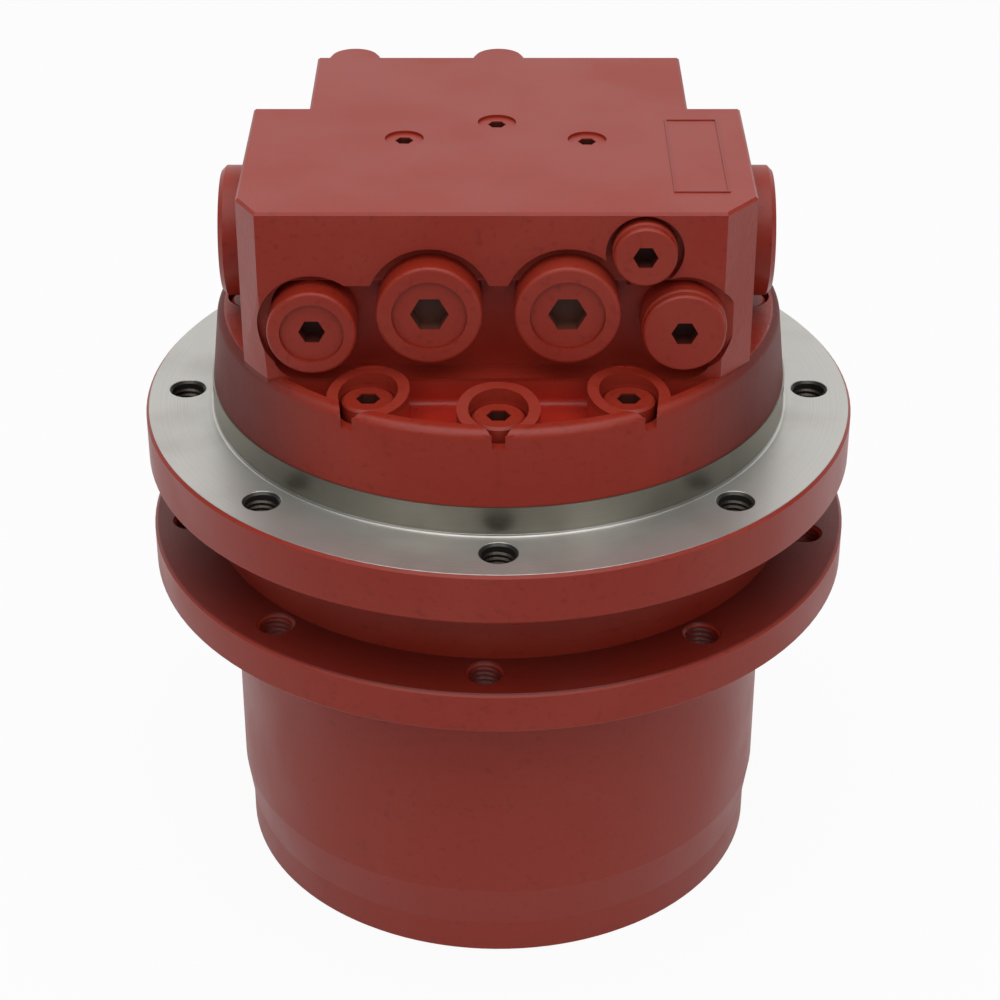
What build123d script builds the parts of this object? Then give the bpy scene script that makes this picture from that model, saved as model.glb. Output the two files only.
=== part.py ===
from build123d import *
import math
import os

# Excavator final drive: a hydraulic travel motor on a two-stage planetary hub. Millimetres.
# The origin is the centre of the hub's bottom rim, +Z runs up the shaft, the ports face -Y.

# Clearances
press_gap = 0.05
run_gap = 0.2
groove_gap = 0.3

# Least share of a face normal that counts as facing a direction
facing_limit = 0.5

# Gear train
module_size = 2.0
pressure = math.radians(25)
tooth_thinning = 0.2
ring_teeth = 66
first_sun_teeth = 12
second_sun_teeth = 18
first_planet_teeth = (ring_teeth - first_sun_teeth) // 2
second_planet_teeth = (ring_teeth - second_sun_teeth) // 2
first_angles = (-30, 90, 210)
second_angles = (-90, 30, 150)
ring_pitch_radius = module_size * ring_teeth / 2
first_orbit = module_size * (first_sun_teeth + first_planet_teeth) / 2
second_orbit = module_size * (second_sun_teeth + second_planet_teeth) / 2
ring_wall = 7.5
ring_blank_allowance = 1.0
dedendum = 1.25
ring_root_radius = ring_pitch_radius + dedendum * module_size
ring_tip_radius = ring_pitch_radius - module_size
ring_outer_radius = ring_root_radius + ring_wall
first_pin_radius = 7.0
first_bush_wall = 3.0
second_pin_radius = 9.0
second_bush_wall = 4.0
carrier_radius = 58.0
second_sun_neck = 14.0
pinion_stem_radius = 8.0
sun_bore_gap = 1.5

# Heights of the gear stack, from the rim of the hub upwards
snap_ring_offset = 2.1
snap_ring_thickness = 2.0
cover_thickness = 11.9
cover_clearance = 4.0
first_planet_width = 16.0
carrier_thickness = 8.0
second_planet_width = 22.0
stage_gap = 2.0
snap_ring_z = snap_ring_offset
cover_z = snap_ring_z + snap_ring_thickness
cover_inner_z = cover_z + cover_thickness
first_planet_z = cover_inner_z + cover_clearance
carrier_z = first_planet_z + first_planet_width + stage_gap
second_planet_z = carrier_z + carrier_thickness + stage_gap
spindle_end_z = second_planet_z + second_planet_width + stage_gap

# Main bearings on the spindle
spindle_radius = 58.0
main_bearing_section = 16.0
main_bearing_width = 16.0
main_ball_radius = 4.6
main_ball_count = 20
race_land = 2.3
cage_half_thickness = 1.0
cage_half_width = 6.5
nut_offset = 1.0
nut_thickness = 7.0
nut_wall = 6.0
nut_slot = 7.0
nut_slot_count = 4
bearing_rib = 6.0
rib_depth = 4.0
lower_bearing_z = spindle_end_z + nut_offset + nut_thickness
upper_bearing_z = lower_bearing_z + main_bearing_width + bearing_rib
shoulder_z = upper_bearing_z + main_bearing_width
bearing_outer_radius = spindle_radius + main_bearing_section
main_pitch_radius = spindle_radius + main_bearing_section / 2

# Floating face seal between the hub and the frame flange
seal_floor_rise = 4.0
seal_ring_height = 10.0
seal_end_gap = 1.0
seal_ring_bore = 68.0
seal_ring_wall = 7.0
seal_lip_height = 3.0
seal_lip_reach = 3.0
seal_cord_radius = 3.9
spindle_shoulder_radius = 64.0
seal_floor_z = shoulder_z + seal_floor_rise
seal_meet_z = seal_floor_z + seal_end_gap + seal_ring_height
seal_ceiling_z = seal_meet_z + seal_ring_height + seal_end_gap
seal_ring_outer = seal_ring_bore + seal_ring_wall
seal_cord_circle = seal_ring_outer + press_gap + seal_cord_radius
seal_seat_radius = seal_cord_circle + seal_cord_radius + press_gap

# Frame flange, its pilot and the seal skirt under it
ceiling_thickness = 4.0
frame_flange_thickness = 17.0
pilot_inset = 3.0
pilot_height = 10.0
pilot_seat = 1.0
frame_face_width = 22.0
tapped_radius = 5.2
tapped_chamfer = 0.9
frame_bolt_count = 8
frame_bolt_inset = 9.0
skirt_wall = 6.5
skirt_gap = 1.5
neck_wall = 5.1
edge_break = 1.0
flange_under_z = seal_ceiling_z + ceiling_thickness
frame_face_z = flange_under_z + frame_flange_thickness
joint_z = frame_face_z + pilot_height
skirt_radius = seal_seat_radius + skirt_wall
neck_radius = skirt_radius + skirt_gap + neck_wall
pilot_radius = neck_radius - pilot_inset
flange_radius = pilot_radius + frame_face_width
frame_bolt_radius = pilot_radius + frame_bolt_inset

# Hub and sprocket flange
flange_gap = 2.0
sprocket_flange_rise = 1.0
sprocket_flange_thickness = 14.0
sprocket_bolt_count = 9
sprocket_bolt_inset = 7.0
sprocket_bolt_turn = -92.3
hub_rim_wall = 8.4
hub_taper = 2.1
flange_seat_step = 1.5
taper_low_z = 12.0
taper_high_z = 27.0
cover_margin = 3.0
snap_groove_depth = 2.0
snap_ring_reach = 4.0
snap_ring_arc = 335.0
cover_radius = ring_outer_radius + cover_margin
hub_end_radius = cover_radius + hub_rim_wall
hub_radius = hub_end_radius + hub_taper
flange_seat_radius = hub_radius - flange_seat_step
sprocket_bolt_radius = neck_radius + sprocket_bolt_inset
neck_top_z = flange_under_z - flange_gap
sprocket_top_z = seal_floor_z + sprocket_flange_rise
sprocket_face_z = sprocket_top_z - sprocket_flange_thickness
skirt_floor_z = seal_meet_z - press_gap

# End cover
cover_cord_radius = 1.5
cover_groove_rise = 5.5
cover_groove_z = cover_z + cover_groove_rise
cover_boss_radius = 12.0
cover_boss_height = 3.0
cover_dish_radius = 60.0
cover_dish_depth = 2.0
oil_plug_radius = 8.0
oil_plug_circle = 50.0
oil_plug_angles = (-90, 0)
oil_plug_hex = 8.0

# Motor cavity inside the spindle
oil_seal_width = 8.0
oil_seal_radius = 20.0
seal_lip_wall = 3.0
seal_lip_radius = 16.5
front_bearing_width = 15.0
front_bearing_radius = 18.5
shaft_radius = 12.0
cavity_radius = 43.5
brake_bore_radius = 46.0
brake_step_depth = 17.0
pin_depth = 22.0
cavity_floor_z = spindle_end_z + oil_seal_width + seal_lip_wall + front_bearing_width
brake_step_z = joint_z - brake_step_depth

# Swash plate, its pivots and control piston
swash_radius = 40.0
swash_bore = 17.5
swash_tilt = 14.0
swash_rise = 14.0
pivot_radius = 5.0
pivot_lift = 3.0
pivot_offset = 28.0
control_radius = 6.5
control_offset = 31.0
control_depth = 18.0
control_dome = 4.0
pivot_z = cavity_floor_z + pivot_lift
swash_back_z = pivot_z + pivot_lift
swash_centre_z = swash_back_z + swash_rise

# Cylinder block, pistons, shoes and valve plate
piston_count = 9
piston_orbit = 27.0
piston_radius = 6.4
piston_ball_radius = 5.0
piston_neck_radius = 3.6
piston_stroke_gap = 4.5
block_radius = 37.0
block_length = 29.0
block_roof = 5.0
valve_plate_thickness = 3.0
valve_plate_radius = 36.0
valve_plate_bore = 14.0
kidney_width = 6.0
kidney_arc = 120.0
shoe_radius = 7.6
shoe_height = 3.5
shoe_collar_radius = 5.2
shoe_collar_height = 3.8
retainer_thickness = 2.0
retainer_margin = 10.0
spline_radius = 13.0
journal_radius = 10.0
journal_wall = 4.5
journal_length = 16.0
spline_count = 18
spline_depth = 1.0
valve_plate_z = joint_z - valve_plate_thickness
block_top_gap = run_gap
block_z = valve_plate_z - block_top_gap - block_length

# Parking brake
brake_plate_thickness = 2.0
brake_disc_thickness = 2.4
brake_disc_count = 2
brake_disc_outer = 44.3
brake_plate_inner = 39.0
brake_piston_outer = 52.0
brake_piston_height = 9.0
brake_chamber_height = 15.5
brake_spring_thickness = 1.4
brake_spring_inset = 1.0

# Motor body: drum and valve block
drum_taper = 2.5
drum_height = 24.0
drum_base_inset = 0.5
drum_rim_round = 3.0
block_top_rise = 78.5
block_front = -56.7
block_rear = 69.2
block_step = 24.3
block_left = -78.0
block_right = 77.0
block_rear_half = 60.3
left_chamfer_x = 6.4
left_chamfer_y = 11.0
right_chamfer_x = 9.8
right_chamfer_y = 11.7
block_corner_flare = 2.5
rear_boss_radius = 8.5
rear_boss_offsets = (-48.0, 0.0)
rear_boss_drop = 52.0
pocket_left = -68.0
pocket_right = 64.5
pocket_height = 31.0
pocket_depth = 9.0
pocket_round = 8.0
trough_depth = 9.0
trough_rim = 4.5
trough_round = 2.5
block_edge_break = 0.8
boss_round = 1.2
recess_depth = 4.0
recess_margin = 3.2
gauge_recess_margin = 1.8
body_cord_circle = 62.0
body_cord_radius = 1.4
drum_base_radius = pilot_radius - drum_base_inset
drum_radius = drum_base_radius - drum_taper
ledge_z = joint_z + drum_height
block_top_z = joint_z + block_top_rise
pocket_wall = block_front + pocket_depth
recess_floor = block_front + recess_depth

# Socket head screws that hold the motor body on the spindle
screw_circle = 156.0
screw_angles = (-90, -60, -120, 0, 180, 30, 150, 75, 105)
screw_radius = 5.0
screw_head_radius = 8.0
screw_head_height = 10.0
screw_hex = 6.5
screw_seat_drop = 11.0
screw_grip = 24.0
screw_lip_radius = 12.5
screw_lip_height = 4.0
screw_lip_round = 1.0
screw_lip_fall = 5.5
screw_head_break = 0.8
screw_recess_radius = 9.0
screw_recess_height = 15.0
screw_notch_reach = 15.0
screw_notch_drop = 5.5

# Ports on the front of the block: centre across, centre above the joint face, boss radius and reach
main_port_offset = 20.5
main_port_rise = 48.0
main_boss_radius = 15.8
main_boss_reach = 6.3
main_port_radius = 9.2
main_plug_radius = 11.2
main_plug_hex = 10.0
drain_port_offset = -55.7
drain_port_rise = 41.5
drain_boss_radius = 13.5
drain_boss_reach = 5.0
drain_port_radius = 7.0
drain_plug_radius = 9.6
drain_plug_hex = 7.0
pilot_port_offset = 55.4
pilot_port_rise = 41.8
pilot_boss_radius = 12.9
pilot_boss_reach = 5.3
pilot_port_radius = 5.2
pilot_plug_hex = 7.0
gauge_port_offset = 43.2
gauge_port_rise = 65.9
gauge_boss_radius = 9.8
gauge_boss_reach = 3.8
gauge_port_radius = 4.5
gauge_plug_hex = 6.5
plug_sink = 1.5
plug_length = 14.0
cap_plug_thickness = 3.0
cap_plug_inset = 0.5
cap_plug_break = 0.6
hex_depth = 6.0

# Small plugs in the top face
orifice_places = ((-29.3, -0.3), (-0.5, 12.7), (27.5, -1.1))
orifice_radius = 6.0
orifice_length = 12.0
orifice_sink = 0.8
orifice_hex = 5.0

# Counterbalance valve across the block
spool_rise = main_port_rise
spool_y = -2.0
spool_radius = 9.8
spool_half_length = 44.0
spool_groove_depth = 2.5
spool_groove_half = 6.0
spool_groove_offset = main_port_offset
chamber_radius = 15.0
cap_head_radius = 20.5
cap_head_thickness = 8.8
cap_head_break = 1.5
cap_spigot_length = 11.0
cap_hex = 17.0
spring_radius = 11.0
spring_wire = 1.3
spring_turns = 4
spool_z = joint_z + spool_rise

# Two-speed selector behind the pilot port
selector_radius = 5.0
selector_length = 12.0
selector_land = 4.0
selector_groove_radius = 3.5
selector_bore_length = 34.0
selector_spring_radius = 3.4
selector_spring_wire = 0.6

on_base = (Align.CENTER, Align.CENTER, Align.MIN)
pieces = {}


def polar(radius, degrees):
    """Point on a circle about the shaft axis."""
    angle = math.radians(degrees)
    return (radius * math.cos(angle), radius * math.sin(angle))


def places(radius, degrees, height):
    """Points on a circle at one height, one for each angle."""
    return [(*polar(radius, angle), height) for angle in degrees]


def outline(points):
    """Half section through the shaft axis, from (radius, height) corners."""
    with BuildSketch(Plane.XZ) as section:
        with BuildLine():
            Polyline(*points, close=True)
        make_face()
    return section.sketch


def band(inner, outer, low, high):
    """Half section of a plain ring."""
    return outline([(inner, low), (outer, low), (outer, high), (inner, high)])


def involute(angle):
    """Involute function of a pressure angle."""
    return math.tan(angle) - angle


def tooth_half_angle(teeth, radius, thinning):
    """Half the angle that a tooth with involute flanks takes up at a radius."""
    pitch_radius = module_size * teeth / 2
    base_radius = pitch_radius * math.cos(pressure)
    flank = math.acos(min(1.0, base_radius / radius))
    half = math.pi / (2 * teeth) - thinning / (2 * pitch_radius)
    return math.degrees(half + involute(pressure) - involute(flank))


def gear_face(teeth, root, tip, thinning, first_tooth, centre):
    """Gear outline with arcs for its roots, flanks and tips, one tooth centred on first_tooth."""
    base_radius = module_size * teeth / 2 * math.cos(pressure)
    start = max(root, base_radius)
    middle = (start + tip) / 2
    low = tooth_half_angle(teeth, start, thinning)
    mid = tooth_half_angle(teeth, middle, thinning)
    high = tooth_half_angle(teeth, tip, thinning)
    pitch = 360 / teeth
    with BuildSketch(Plane(origin=centre)) as face:
        with BuildLine():
            for number in range(teeth):
                axis = first_tooth + number * pitch
                if start > root:
                    Line(polar(root, axis - low), polar(start, axis - low))
                    Line(polar(start, axis + low), polar(root, axis + low))
                ThreePointArc(polar(start, axis - low), polar(middle, axis - mid), polar(tip, axis - high))
                ThreePointArc(polar(tip, axis - high), polar(tip, axis), polar(tip, axis + high))
                ThreePointArc(polar(tip, axis + high), polar(middle, axis + mid), polar(start, axis + low))
                next_low = axis + pitch - low
                ThreePointArc(polar(root, axis + low), polar(root, axis + pitch / 2), polar(root, next_low))
        make_face()
    return face.sketch


def external_gear(teeth, first_tooth, centre):
    """Face of an external gear of the common module."""
    pitch_radius = module_size * teeth / 2
    root = pitch_radius - dedendum * module_size
    tip = pitch_radius + module_size
    return gear_face(teeth, root, tip, tooth_thinning, first_tooth, centre)


def disc_face(radius, plane):
    """Round face on a plane."""
    with BuildSketch(plane) as face:
        Circle(radius)
    return face.sketch


def hex_face(across_flats, plane):
    """Hexagon face on a plane."""
    with BuildSketch(plane) as face:
        RegularPolygon(across_flats / 2, 6, major_radius=False)
    return face.sketch


def port_plane(offset, rise, y):
    """Plane across a front port, facing into the block."""
    return Plane(origin=(offset, y, joint_z + rise), x_dir=(1, 0, 0), z_dir=(0, 1, 0))


def notch_face(angle, height):
    """Round screw recess with a point that opens towards the rim."""
    touch = math.degrees(math.acos(screw_recess_radius / screw_notch_reach))
    centre = (*polar(screw_circle / 2, angle), height)
    with BuildSketch(Plane(origin=centre, x_dir=(*polar(1, angle), 0))) as face:
        Circle(screw_recess_radius)
        with BuildLine():
            Polyline(
                polar(screw_recess_radius, -touch),
                (screw_notch_reach, 0),
                polar(screw_recess_radius, touch),
                close=True,
            )
        make_face()
    return face.sketch


def side_plane(x, direction):
    """Plane across the spool axis, facing along direction times +X."""
    return Plane(origin=(x, spool_y, spool_z), x_dir=(0, 1, 0), z_dir=(direction, 0, 0))


def keep(label, piece):
    """Label a finished piece and note it for writing."""
    piece.part.label = label
    pieces[label] = piece.part


# Spindle flange: frame flange above, bearing spindle and motor cavity below
with BuildPart() as spindle_flange:
    revolve(
        outline(
            [
                (oil_seal_radius, spindle_end_z),
                (spindle_radius, spindle_end_z),
                (spindle_radius, shoulder_z),
                (spindle_shoulder_radius, shoulder_z),
                (spindle_shoulder_radius, seal_ceiling_z),
                (seal_seat_radius, seal_ceiling_z),
                (seal_seat_radius, seal_meet_z + run_gap),
                (skirt_radius, seal_meet_z + run_gap + skirt_gap),
                (skirt_radius, flange_under_z),
                (flange_radius - edge_break, flange_under_z),
                (flange_radius, flange_under_z + edge_break),
                (flange_radius, frame_face_z - edge_break),
                (flange_radius - edge_break, frame_face_z),
                (pilot_radius + press_gap, frame_face_z),
                (pilot_radius + press_gap - pilot_seat, frame_face_z - pilot_seat),
                (brake_bore_radius, frame_face_z - pilot_seat),
                (brake_bore_radius, brake_step_z),
                (cavity_radius, brake_step_z),
                (cavity_radius, cavity_floor_z),
                (front_bearing_radius, cavity_floor_z),
                (front_bearing_radius, cavity_floor_z - front_bearing_width),
                (seal_lip_radius, cavity_floor_z - front_bearing_width),
                (seal_lip_radius, spindle_end_z + oil_seal_width),
                (oil_seal_radius, spindle_end_z + oil_seal_width),
            ]
        ),
        axis=Axis.Z,
    )
    with Locations((0, 0, frame_face_z)):
        with PolarLocations(frame_bolt_radius, frame_bolt_count, start_angle=-90):
            CounterSinkHole(tapped_radius, tapped_radius + tapped_chamfer, frame_flange_thickness, 90)
    with Locations(*places(screw_circle / 2, screw_angles, frame_face_z)):
        Hole(screw_radius + press_gap, screw_grip - pilot_height)
    with Locations(*places(second_orbit, second_angles, spindle_end_z)):
        Cylinder(second_pin_radius + press_gap, pin_depth, align=on_base, mode=Mode.SUBTRACT)
    with Locations((pivot_offset, 0, pivot_z), (-pivot_offset, 0, pivot_z)):
        Sphere(pivot_radius + press_gap, mode=Mode.SUBTRACT)
    with Locations((0, control_offset, cavity_floor_z)):
        Hole(control_radius + run_gap, control_depth)
keep("spindle_flange", spindle_flange)

# Pilot ring round the brake, centred by a cone in the spindle flange and clamped by the motor body
with BuildPart() as pilot_ring:
    ring_low_z = frame_face_z + press_gap
    revolve(
        outline(
            [
                (brake_bore_radius, ring_low_z - pilot_seat),
                (pilot_radius - pilot_seat, ring_low_z - pilot_seat),
                (pilot_radius, ring_low_z),
                (pilot_radius, joint_z - press_gap),
                (brake_bore_radius, joint_z - press_gap),
            ]
        ),
        axis=Axis.Z,
    )
    with Locations(*places(screw_circle / 2, screw_angles, joint_z)):
        Hole(screw_radius + run_gap, pilot_height + pilot_seat)
keep("pilot_ring", pilot_ring)

# Hub: barrel with the seal seat, the bearing seats and the bore for the ring gear
with BuildPart() as hub:
    revolve(
        outline(
            [
                (cover_radius, 0),
                (hub_end_radius - edge_break, 0),
                (hub_end_radius, edge_break),
                (hub_end_radius, taper_low_z),
                (hub_radius, taper_high_z),
                (hub_radius, sprocket_face_z - press_gap),
                (flange_seat_radius, sprocket_face_z + flange_seat_step - press_gap),
                (flange_seat_radius, skirt_floor_z),
                (seal_seat_radius, skirt_floor_z),
                (seal_seat_radius, seal_floor_z),
                (bearing_outer_radius + press_gap, seal_floor_z),
                (bearing_outer_radius + press_gap, upper_bearing_z),
                (bearing_outer_radius - rib_depth, upper_bearing_z),
                (bearing_outer_radius - rib_depth, upper_bearing_z - bearing_rib),
                (bearing_outer_radius + press_gap, upper_bearing_z - bearing_rib),
                (bearing_outer_radius + press_gap, spindle_end_z),
                (ring_outer_radius + press_gap, spindle_end_z),
                (ring_outer_radius + press_gap, cover_inner_z),
                (cover_radius, cover_inner_z),
                (cover_radius, cover_z),
                (cover_radius + snap_groove_depth, cover_z),
                (cover_radius + snap_groove_depth, snap_ring_z),
                (cover_radius, snap_ring_z),
            ]
        ),
        axis=Axis.Z,
    )
keep("hub", hub)

# Sprocket flange shrunk on the hub's cone, with the neck that covers the seal
with BuildPart() as sprocket_flange:
    revolve(
        outline(
            [
                (hub_radius + press_gap, sprocket_face_z),
                (flange_radius - edge_break, sprocket_face_z),
                (flange_radius, sprocket_face_z + edge_break),
                (flange_radius, sprocket_top_z - edge_break),
                (flange_radius - edge_break, sprocket_top_z),
                (neck_radius, sprocket_top_z),
                (neck_radius, neck_top_z),
                (skirt_radius + skirt_gap, neck_top_z),
                (skirt_radius + skirt_gap, skirt_floor_z),
                (flange_seat_radius + press_gap, skirt_floor_z),
                (flange_seat_radius + press_gap, sprocket_face_z + flange_seat_step),
            ]
        ),
        axis=Axis.Z,
    )
    with Locations((0, 0, sprocket_top_z)):
        with PolarLocations(sprocket_bolt_radius, sprocket_bolt_count, start_angle=sprocket_bolt_turn):
            CounterSinkHole(tapped_radius, tapped_radius + tapped_chamfer, sprocket_flange_thickness, 90)
keep("sprocket_flange", sprocket_flange)

# Ring gear pressed into the hub, common to both planetary stages
with BuildPart() as ring_gear:
    ring_blank_bore = ring_tip_radius - ring_blank_allowance
    revolve(band(ring_blank_bore, ring_outer_radius, cover_inner_z, spindle_end_z), axis=Axis.Z)
    spaces = gear_face(
        ring_teeth, ring_tip_radius, ring_root_radius, -tooth_thinning, second_angles[0], (0, 0, cover_inner_z)
    )
    extrude(spaces, amount=spindle_end_z - cover_inner_z, mode=Mode.SUBTRACT)
keep("ring_gear", ring_gear)

# End cover with its dish, thrust boss, O-ring groove and oil plug holes
with BuildPart() as end_cover:
    cover_edge = cover_radius - press_gap
    groove_floor = cover_edge - 2 * cover_cord_radius
    revolve(
        outline(
            [
                (0, cover_z + cover_dish_depth),
                (cover_dish_radius - cover_dish_depth, cover_z + cover_dish_depth),
                (cover_dish_radius, cover_z),
                (cover_edge, cover_z),
                (cover_edge, cover_groove_z),
                (groove_floor, cover_groove_z),
                (groove_floor, cover_groove_z + 2 * cover_cord_radius + groove_gap),
                (cover_edge, cover_groove_z + 2 * cover_cord_radius + groove_gap),
                (cover_edge, cover_inner_z - press_gap),
                (cover_boss_radius + cover_boss_height, cover_inner_z - press_gap),
                (cover_boss_radius, cover_inner_z + cover_boss_height),
                (0, cover_inner_z + cover_boss_height),
            ]
        ),
        axis=Axis.Z,
    )
    with Locations(*places(oil_plug_circle, oil_plug_angles, cover_z)):
        Cylinder(oil_plug_radius + press_gap, cover_thickness, align=on_base, mode=Mode.SUBTRACT)
keep("end_cover", end_cover)

# Oil plugs of the end cover, flush with its dish
with BuildPart() as oil_plugs:
    with Locations(*places(oil_plug_circle, oil_plug_angles, cover_z + cover_dish_depth)):
        Cylinder(oil_plug_radius, cover_thickness - cover_dish_depth, align=on_base)
    for place in places(oil_plug_circle, oil_plug_angles, cover_z + cover_dish_depth):
        extrude(hex_face(oil_plug_hex, Plane(origin=place)), amount=hex_depth, mode=Mode.SUBTRACT)
keep("oil_plugs", oil_plugs)

# O-ring round the end cover
with BuildPart() as cover_o_ring:
    with BuildSketch(Plane.XZ):
        cord_z = cover_groove_z + cover_cord_radius + groove_gap / 2
        with Locations((groove_floor + cover_cord_radius, cord_z)):
            Circle(cover_cord_radius - press_gap / 2)
    revolve(axis=Axis.Z)
keep("cover_o_ring", cover_o_ring)

# Snap ring that holds the end cover
with BuildPart() as cover_snap_ring:
    revolve(
        band(
            cover_radius - snap_ring_reach,
            cover_radius + snap_groove_depth - press_gap,
            snap_ring_z + press_gap,
            cover_z - press_gap,
        ),
        axis=Axis.Z,
        revolution_arc=snap_ring_arc,
    )
keep("cover_snap_ring", cover_snap_ring)

# Main bearings: two rows of balls between rings on the spindle and rings in the hub
main_row_heights = (
    lower_bearing_z + main_bearing_width / 2,
    upper_bearing_z + main_bearing_width / 2,
)
race_radius = main_ball_radius + run_gap
with BuildPart() as main_bearing_inner_rings:
    for middle in main_row_heights:
        low = middle - main_bearing_width / 2 + press_gap
        high = middle + main_bearing_width / 2 - press_gap
        revolve(band(spindle_radius + press_gap, main_pitch_radius - race_land, low, high), axis=Axis.Z)
        with Locations((0, 0, middle)):
            Torus(main_pitch_radius, race_radius, mode=Mode.SUBTRACT)
keep("main_bearing_inner_rings", main_bearing_inner_rings)

with BuildPart() as main_bearing_outer_rings:
    for middle in main_row_heights:
        low = middle - main_bearing_width / 2 + press_gap
        high = middle + main_bearing_width / 2 - press_gap
        revolve(band(main_pitch_radius + race_land, bearing_outer_radius, low, high), axis=Axis.Z)
        with Locations((0, 0, middle)):
            Torus(main_pitch_radius, race_radius, mode=Mode.SUBTRACT)
keep("main_bearing_outer_rings", main_bearing_outer_rings)

with BuildPart() as main_bearing_balls:
    for middle in main_row_heights:
        with Locations((0, 0, middle)):
            with PolarLocations(main_pitch_radius, main_ball_count):
                Sphere(main_ball_radius)
keep("main_bearing_balls", main_bearing_balls)

with BuildPart() as main_bearing_cages:
    for middle in main_row_heights:
        revolve(
            band(
                main_pitch_radius - cage_half_thickness,
                main_pitch_radius + cage_half_thickness,
                middle - cage_half_width,
                middle + cage_half_width,
            ),
            axis=Axis.Z,
        )
        for number in range(main_ball_count):
            outward = polar(1, number * 360 / main_ball_count)
            ball_plane = Plane(origin=(0, 0, middle), z_dir=(*outward, 0))
            pocket = disc_face(main_ball_radius + press_gap, ball_plane)
            extrude(pocket, amount=bearing_outer_radius, mode=Mode.SUBTRACT)
keep("main_bearing_cages", main_bearing_cages)

# Slotted nut that clamps the inner rings
with BuildPart() as bearing_lock_nut:
    nut_z = spindle_end_z + nut_offset
    revolve(
        band(spindle_radius + press_gap, spindle_radius + nut_wall, nut_z, nut_z + nut_thickness),
        axis=Axis.Z,
    )
    with Locations((0, 0, nut_z)):
        with PolarLocations(spindle_radius + nut_slot, nut_slot_count):
            Box(nut_slot, nut_slot, nut_thickness, align=on_base, mode=Mode.SUBTRACT)
keep("bearing_lock_nut", bearing_lock_nut)

# Floating face seal: a turning ring in the hub and a fixed one under the flange, each on an O-ring
with BuildPart() as seal_ring_turning:
    seal_low_z = seal_floor_z + seal_end_gap
    revolve(
        outline(
            [
                (seal_ring_bore, seal_low_z),
                (seal_ring_outer, seal_low_z),
                (seal_ring_outer, seal_meet_z - seal_lip_height),
                (seal_ring_outer + seal_lip_reach, seal_meet_z - seal_lip_height),
                (seal_ring_outer + seal_lip_reach, seal_meet_z - run_gap / 2),
                (seal_ring_bore, seal_meet_z - run_gap / 2),
            ]
        ),
        axis=Axis.Z,
    )
keep("seal_ring_turning", seal_ring_turning)

with BuildPart() as seal_ring_fixed:
    seal_high_z = seal_ceiling_z - seal_end_gap
    revolve(
        outline(
            [
                (seal_ring_bore, seal_high_z),
                (seal_ring_outer, seal_high_z),
                (seal_ring_outer, seal_meet_z + seal_lip_height),
                (seal_ring_outer + seal_lip_reach, seal_meet_z + seal_lip_height),
                (seal_ring_outer + seal_lip_reach, seal_meet_z + run_gap / 2),
                (seal_ring_bore, seal_meet_z + run_gap / 2),
            ]
        ),
        axis=Axis.Z,
    )
keep("seal_ring_fixed", seal_ring_fixed)

with BuildPart() as seal_o_ring_turning:
    with Locations((0, 0, seal_floor_z + seal_cord_radius + press_gap)):
        Torus(seal_cord_circle, seal_cord_radius)
keep("seal_o_ring_turning", seal_o_ring_turning)

with BuildPart() as seal_o_ring_fixed:
    with Locations((0, 0, seal_ceiling_z - seal_cord_radius - press_gap)):
        Torus(seal_cord_circle, seal_cord_radius)
keep("seal_o_ring_fixed", seal_o_ring_fixed)


def planet_gear(teeth, orbit, angle, low, width, bore):
    """Planet gear with one tooth pointing away from the shaft and a plain bore."""
    centre = (*polar(orbit, angle), low)
    with BuildPart() as planet:
        extrude(external_gear(teeth, angle, centre), amount=width)
        extrude(disc_face(bore, Plane(origin=centre)), amount=width, mode=Mode.SUBTRACT)
    return planet


def pin_set(orbit, angles, radius, low, high):
    """Planet pins on one circle."""
    with BuildPart() as pins:
        with Locations(*places(orbit, angles, low)):
            Cylinder(radius, high - low, align=on_base)
    return pins


def bush_set(orbit, angles, inner, outer, low, high):
    """Planet bushes on one circle."""
    with BuildPart() as bushes:
        with Locations(*places(orbit, angles, low)):
            Cylinder(outer, high - low, align=on_base)
        with Locations(*places(orbit, angles, low)):
            Cylinder(inner, high - low, align=on_base, mode=Mode.SUBTRACT)
    return bushes


# Second stage: planets on pins in the spindle, driven by the second sun
second_bush_radius = second_pin_radius + press_gap + second_bush_wall
for letter, angle in zip("abc", second_angles):
    keep(
        f"second_planet_{letter}",
        planet_gear(
            second_planet_teeth,
            second_orbit,
            angle,
            second_planet_z,
            second_planet_width,
            second_bush_radius + run_gap,
        ),
    )
second_pin_low = second_planet_z - stage_gap / 2
second_pins = pin_set(
    second_orbit, second_angles, second_pin_radius, second_pin_low, spindle_end_z + pin_depth - press_gap
)
keep("second_stage_pins", second_pins)
second_bushes = bush_set(
    second_orbit,
    second_angles,
    second_pin_radius + press_gap,
    second_bush_radius,
    second_planet_z,
    second_planet_z + second_planet_width,
)
keep("second_stage_bushes", second_bushes)

# Second sun: turned neck splined into the first carrier, gear above it, bored for the input shaft
with BuildPart() as second_sun:
    sun_tooth = second_angles[0] + 180 / second_sun_teeth
    gear_z = carrier_z + carrier_thickness + stage_gap / 2
    gear_top_z = second_planet_z + second_planet_width
    extrude(external_gear(second_sun_teeth, sun_tooth, (0, 0, gear_z)), amount=gear_top_z - gear_z)
    revolve(band(0, second_sun_neck, carrier_z, gear_z), axis=Axis.Z)
    revolve(
        band(0, pinion_stem_radius + sun_bore_gap, carrier_z, gear_top_z), axis=Axis.Z, mode=Mode.SUBTRACT
    )
keep("second_sun", second_sun)

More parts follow.
